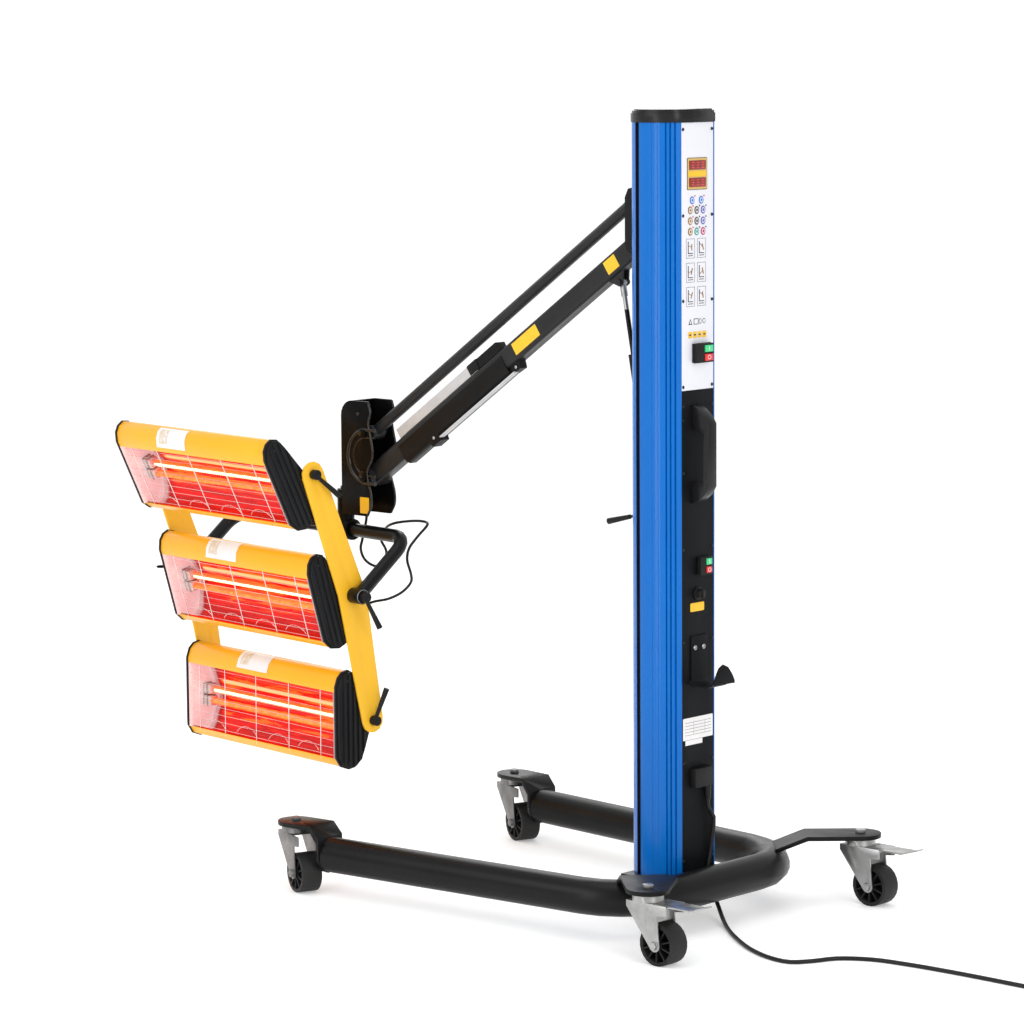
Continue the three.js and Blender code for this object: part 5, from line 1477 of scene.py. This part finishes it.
    def _grille(self) -> None:
        """Adds the guard: long thin wires, five bowed uprights and their hooks."""
        piece = self._start("wire_guard")
        for index in range(9):
            z = 31 + index * 16.8
            bow = 2.2 * math.sin(math.pi * (z - 24) / 148)
            piece.tube([(-271, 4.5 - bow, z), (0, 4.0 - bow, z), (271, 4.5 - bow, z)], 0.5, 6)
        for x in (-238.0, -140.0, -22.0, 100.0, 216.0):
            bows = [(math.sin(share * math.pi), share) for share in spaced(0, 1, 12)]
            piece.tube([(x, 12, 17.5), (x, 7, 18), *((x + 5 * bow, 5.2 - 3.4 * bow, 20 + 156 * share)
                        for bow, share in bows), (x, 8, 178), (x, 12, 178)], 1.15, 8)
        for x in (-180.0, -60.0, 60.0, 170.0):
            turns = spaced(0.15 * math.pi, 0.85 * math.pi, 10)
            piece.tube([(x + 42 * math.cos(turn), 6.4, 20 + 30 * math.sin(turn)) for turn in turns], 0.8, 6)
        self._close(piece, [CHROME], "zinc")

    def _sticker(self) -> None:
        """Adds the blank white label that wraps the shell's upper edge."""
        left, right = self.place.sticker
        piece = self._start("blank_sticker")
        blank, printed = spaced(left, right, 12), spaced(left + 10, left + 42, 4)
        piece.sheet([[(x, depth - 0.1, height) for x in blank] for depth, height in self.wrap])
        piece.sheet([[(x, depth - 0.22, height + 0.08) for x in printed]
                     for depth, height in self.wrap[1:-1]], 1)
        self._close(piece, [LABEL_WHITE, LABEL_PRINT], "white_sheet", 50)

    def _screws(self) -> None:
        """Adds the cap screws on both end faces."""
        for side, name in zip(SIDES, ("left", "right")):
            outward = Matrix(((0, 0, side, 0), (side, 0, 0, 0), (0, 1, 0, 0), (0, 0, 0, 1)))
            face = self.matrix @ Matrix.Translation((side * 287.2, 0, 0)) @ outward
            piece = Piece(f"cap_screws_{name}_{self.place.label.value}", face)
            for depth, height in ((26, 196), (30, 13), (44, 183)):
                screw(piece, side * depth, height, 0, 3.6)
            self._close(piece, [SCREW_BLACK], "black_plastic", 35)


# --------------------------------------------------------------------------
# Yoke, arm and stand


@dataclass
class Yoke(Assembly):
    """Yoke tube, side bars, swivel clamp and the levers."""

    def build(self) -> None:
        """Dresses the yoke and adds the left lever and the hub washers."""
        self.dress(TUBE_BLACK, "yoke", 0.5, 50)
        self.dress(BAR_YELLOW, "side_bar_right side_bar_left")
        self.dress(CARRIER_BLACK, "swivel_clamp")
        self.dress(PLASTIC_BLACK, "swivel_lever")
        middle = next(place for place in LAMP_PLACES if place.label is Label.MIDDLE)
        hub = yoke_frame() @ Matrix.Translation((0, -middle.forward, middle.height - SWIVEL[2]))
        lever = Piece("left_clamp_lever", hub)
        lever.tube([(-331.6, 0, 0), (-337.0, 0, 0)], [13.5, 12.0], 20)
        lever.tube([(-333, -8, 1), (-331.5, -32, 2.5), (-329, -62, 4.6), (-327, -80, 6), (-326.6, -84, 6.2)],
                   [4.4, 4.2, 3.8, 3.4, 1.8], 14)
        self.close(lever, [PLASTIC_BLACK], "yoke_frame", "black_plastic")
        washers = Piece("hub_washers", hub)
        for side in SIDES:
            washers.tube([(side * 331.15, y, z) for y, z in circle(15.2, 24)], 0.8, 6, closed=True)
        self.close(washers, [ZINC], "yoke_frame", "zinc")


def arm_side() -> Matrix:
    """Gives the arm's near face in millimetres: X toward the column, Y up across the arm, Z outward."""
    slope = math.radians(34.73)
    return frame_of(at(-90, 0, 1395), (math.cos(slope), 0, math.sin(slope)), (0, -1, 0))


def near_side(x: float, y: float, z: float) -> Matrix:
    """Gives a frame in millimetres on a near face: X toward the column, Y up, Z outward."""
    return frame_of(at(x, y, z), (1, 0, 0), (0, -1, 0))


@dataclass
class Arm(Assembly):
    """Arm, link, strut and head bracket.

    Attributes:
        half: Half the arm's width.
        labels: Where both yellow labels start and end along the arm, the long one first.
        guard: Where the folded guard starts and ends.
        guard_side: Half of the guard's outer and inner section, from its upper rim to its floor.
        clip: Where the rail's dark clip starts.
        rod_end: Height over which the strut's rod is bright, in metres.
        edge: The bracket's front edge, from its lower corner.
    """

    half: float = 19.0
    labels: Pairs = ((328.0, 411.0), (57.0, 93.0))
    guard: tuple[float, float] = (450.0, 826.0)
    guard_side: tuple[Pairs, ...] = (
        ((20.6, 9.0), (21.0, -24.0), (17.0, -32.0), (10.0, -36.0)),
        ((19.2, 9.0), (19.4, -23.0), (16.0, -30.4), (9.4, -34.0)),
    )
    clip: float = -529.0
    rod_end: float = 1.26
    edge: Pairs = ((-12, 2), (0, 24), (0, 48), (-12, 96), (6, 135), (-6, 207), (0, 231),
                                             (-6, 253))

    def build(self) -> None:
        """Dresses the arm and adds plates, embossing and fasteners."""
        self.dress(STEEL_GREY, "main_arm link_rod", 0.5, 50)
        rail = self.dress(ALUMINIUM, "arm_rail", 0.4)
        start = arm_side() @ Vector((self.clip, 0, 0))
        lean = arm_side().col[0].to_3d()
        self.recolour(rail, STEEL_BLACK, lambda middle: (middle - start).dot(lean) > 0, (start, lean))
        self.dress(STEEL_BLACK, "strut_cylinder", 0.5, 50)
        rod = self.dress(STEEL_BLACK, "strut_rod", 0.5, 50)
        self.recolour(rod, ZINC, lambda middle: middle.z > self.rod_end, ((0, 0, self.rod_end), (0, 0, 1)))
        self.dress(PLASTIC_BLACK, "strut_lever", 0.5, 50)
        self.dress(CARRIER_BLACK, "head_bracket")
        self._labels()
        self._trim()
        self._guard()
        self._bracket()

    def _labels(self) -> None:
        """Adds the two blank yellow labels."""
        plates = Piece("arm_labels", arm_side())
        half = self.half
        (low, high), (patch_low, patch_high) = self.labels
        plates.prism(box_of(-high, -13.0, -low, 14.0), half, half + 0.4, 0.12)
        plates.prism(box_of(-high + 4, -10.0, -low - 4, 11.0), half + 0.4, half + 0.5, 0.0, 1)
        plates.prism(box_of(-patch_high, -14.0, -patch_low, 15.0), half, half + 0.4, 0.12)
        self.close(plates, [LABEL_YELLOW, LABEL_YELLOW], "arm", "bar_yellow")

    def _trim(self) -> None:
        """Adds the bright strip with its lugs and screws."""
        strip = Piece("arm_trim_strip", arm_side())
        strip.prism(box_of(-706, -40.5, -437, -37.5), 6.0, 20.6, 0.6)
        self.close(strip, [ALUMINIUM], "arm", "aluminium")
        lugs = Piece("arm_trim_lugs", arm_side())
        lugs.prism([(-446, -38), (-420, -40), (-414, -22), (-452, -22)], -6.0, 15.0, 1.0)
        lugs.prism([(-738, -46), (-708, -46), (-704, -22), (-744, -22)], -8.0, 18.6, 1.4)
        self.close(lugs, [STEEL_BLACK], "arm", "black_steel")
        screws = Piece("arm_trim_screws", arm_side())
        for along, seat in ((-430.0, 15.4), (-724.0, 18.6)):
            screw(screws, along, -31.0, seat, 3.6, Cut.HEX)
        self.close(screws, [ZINC], "arm", "zinc")

    def _guard(self) -> None:
        """Adds the folded steel guard round the arm's lower half and the rail's end cover."""
        outer, inner = self.guard_side
        section = [(-x, y) for x, y in outer] + [(x, y) for x, y in reversed(outer)]
        section += list(inner) + [(-x, y) for x, y in reversed(inner)]
        turn = arm_side() @ Matrix(((0, 0, -1, 0), (0, 1, 0, 0), (1, 0, 0, 0), (0, 0, 0, 1)))
        guard = Piece("arm_guard", turn)
        guard.prism(section, *self.guard, 0.3)
        self.close(guard, [STEEL_BLACK], "arm", "black_steel", 50)
        cover = Piece("rail_end_cover", turn)
        cover.prism([(-16.6, 23.0), (-16.6, 44.0), (-14.0, 46.4), (14.0, 46.4), (16.6, 44.0), (16.6, 23.0),
                     (15.2, 23.0), (15.2, 44.9), (-15.2, 44.9), (-15.2, 23.0)], 522.0, 553.0, 0.3)
        self.close(cover, [STEEL_BLACK], "arm", "black_steel", 50)

    def _bracket(self) -> None:
        """Adds the raised ridge, the hems, the screws and the blank label of the head bracket."""
        ridge = Piece("bracket_ridge", near_side(-857, -37, 904))
        for share, thick in ((1.0, 5.0), (0.72, 2.4)):
            across, up = 56 * share, 59.0 * share
            turns = (math.pi / 2 + turn for turn in spaced(0, math.pi, 20))
            bow = [(across * math.cos(turn), up * math.sin(turn), -1.5) for turn in turns]
            ridge.tube([(26.0, up, -1.5), *bow, (26.0, -up, -1.5)], thick, 12)
        self.close(ridge, [RIDGE_GLOSS], "head", "black_steel", 60)
        for name, y in (("near", -37), ("far", 37)):
            hem = Piece(f"bracket_hem_{name}", near_side(0, y, 0))
            hem.tube(catmull([(-843 + x, 771 + z, 0.0) for x, z in self.edge], 6.0), 2.6, 10)
            self.close(hem, [RIDGE_GLOSS], "head", "black_steel", 60)
        screws = Piece("bracket_screws", near_side(0, -37, 0))
        screw(screws, -881.0, 997.0, 0.0, 4.2, Cut.HEX)
        bolt(screws, -872.5, 955.6, 6.4, 9.0)
        bolt(screws, -869.5, 862.4, 6.4, 9.0)
        self.close(screws, [RIDGE_GLOSS], "head", "black_steel")
        label = Piece("bracket_label", near_side(-864, -37, 795))
        label.prism(rounded(28, 36, 2), 0, 0.4, 0.12)
        self.close(label, [LABEL_YELLOW], "head", "bar_yellow")


@dataclass
class Stand(Assembly):
    """Base tube, outriggers and casters.

    Attributes:
        hub_reach: Distance from a wheel's middle under which its faces belong to the hub, in metres.
    """

    hub_reach: float = 0.034

    def build(self) -> None:
        """Dresses the stand."""
        self.dress(TUBE_BLACK, "base_frame", 0.6, 50)
        self.dress(STEEL_BLACK, "rear_outrigger_near rear_outrigger_far")
        for end, finish in (("front", FORK_DARK), ("rear", ZINC)):
            for corner in (f"{end}_near", f"{end}_far"):
                self.dress(finish, f"caster_fork_{corner}", 0.5, 40)
                self._wheel(f"caster_wheel_{corner}")
                if end == "rear":
                    self.dress(ZINC, f"brake_pedal_{corner}", 0.5)

    def _wheel(self, name: str) -> None:
        """Dresses a wheel with a rubber tread and black plastic hub discs."""
        low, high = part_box(name)
        middle = (low + high) / 2
        wheel = self.dress(TYRE, name, 0.8, 40)
        self.recolour(wheel, PLASTIC_BLACK, lambda place: (place - middle).length < self.hub_reach)


def main() -> None:
    """Loads the frame, dresses every assembly and finishes the scene."""
    logging.basicConfig(level=logging.INFO)
    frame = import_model()
    palette = Palette()
    for kind in (Studio, Cords, Column, ControlFace, Switches):
        kind(frame, palette).build()
    for place in LAMP_PLACES:
        LampUnit(frame, palette, place).build()
    for kind in (Yoke, Arm, Stand):
        kind(frame, palette).build()


if __name__ == "__main__":
    main()
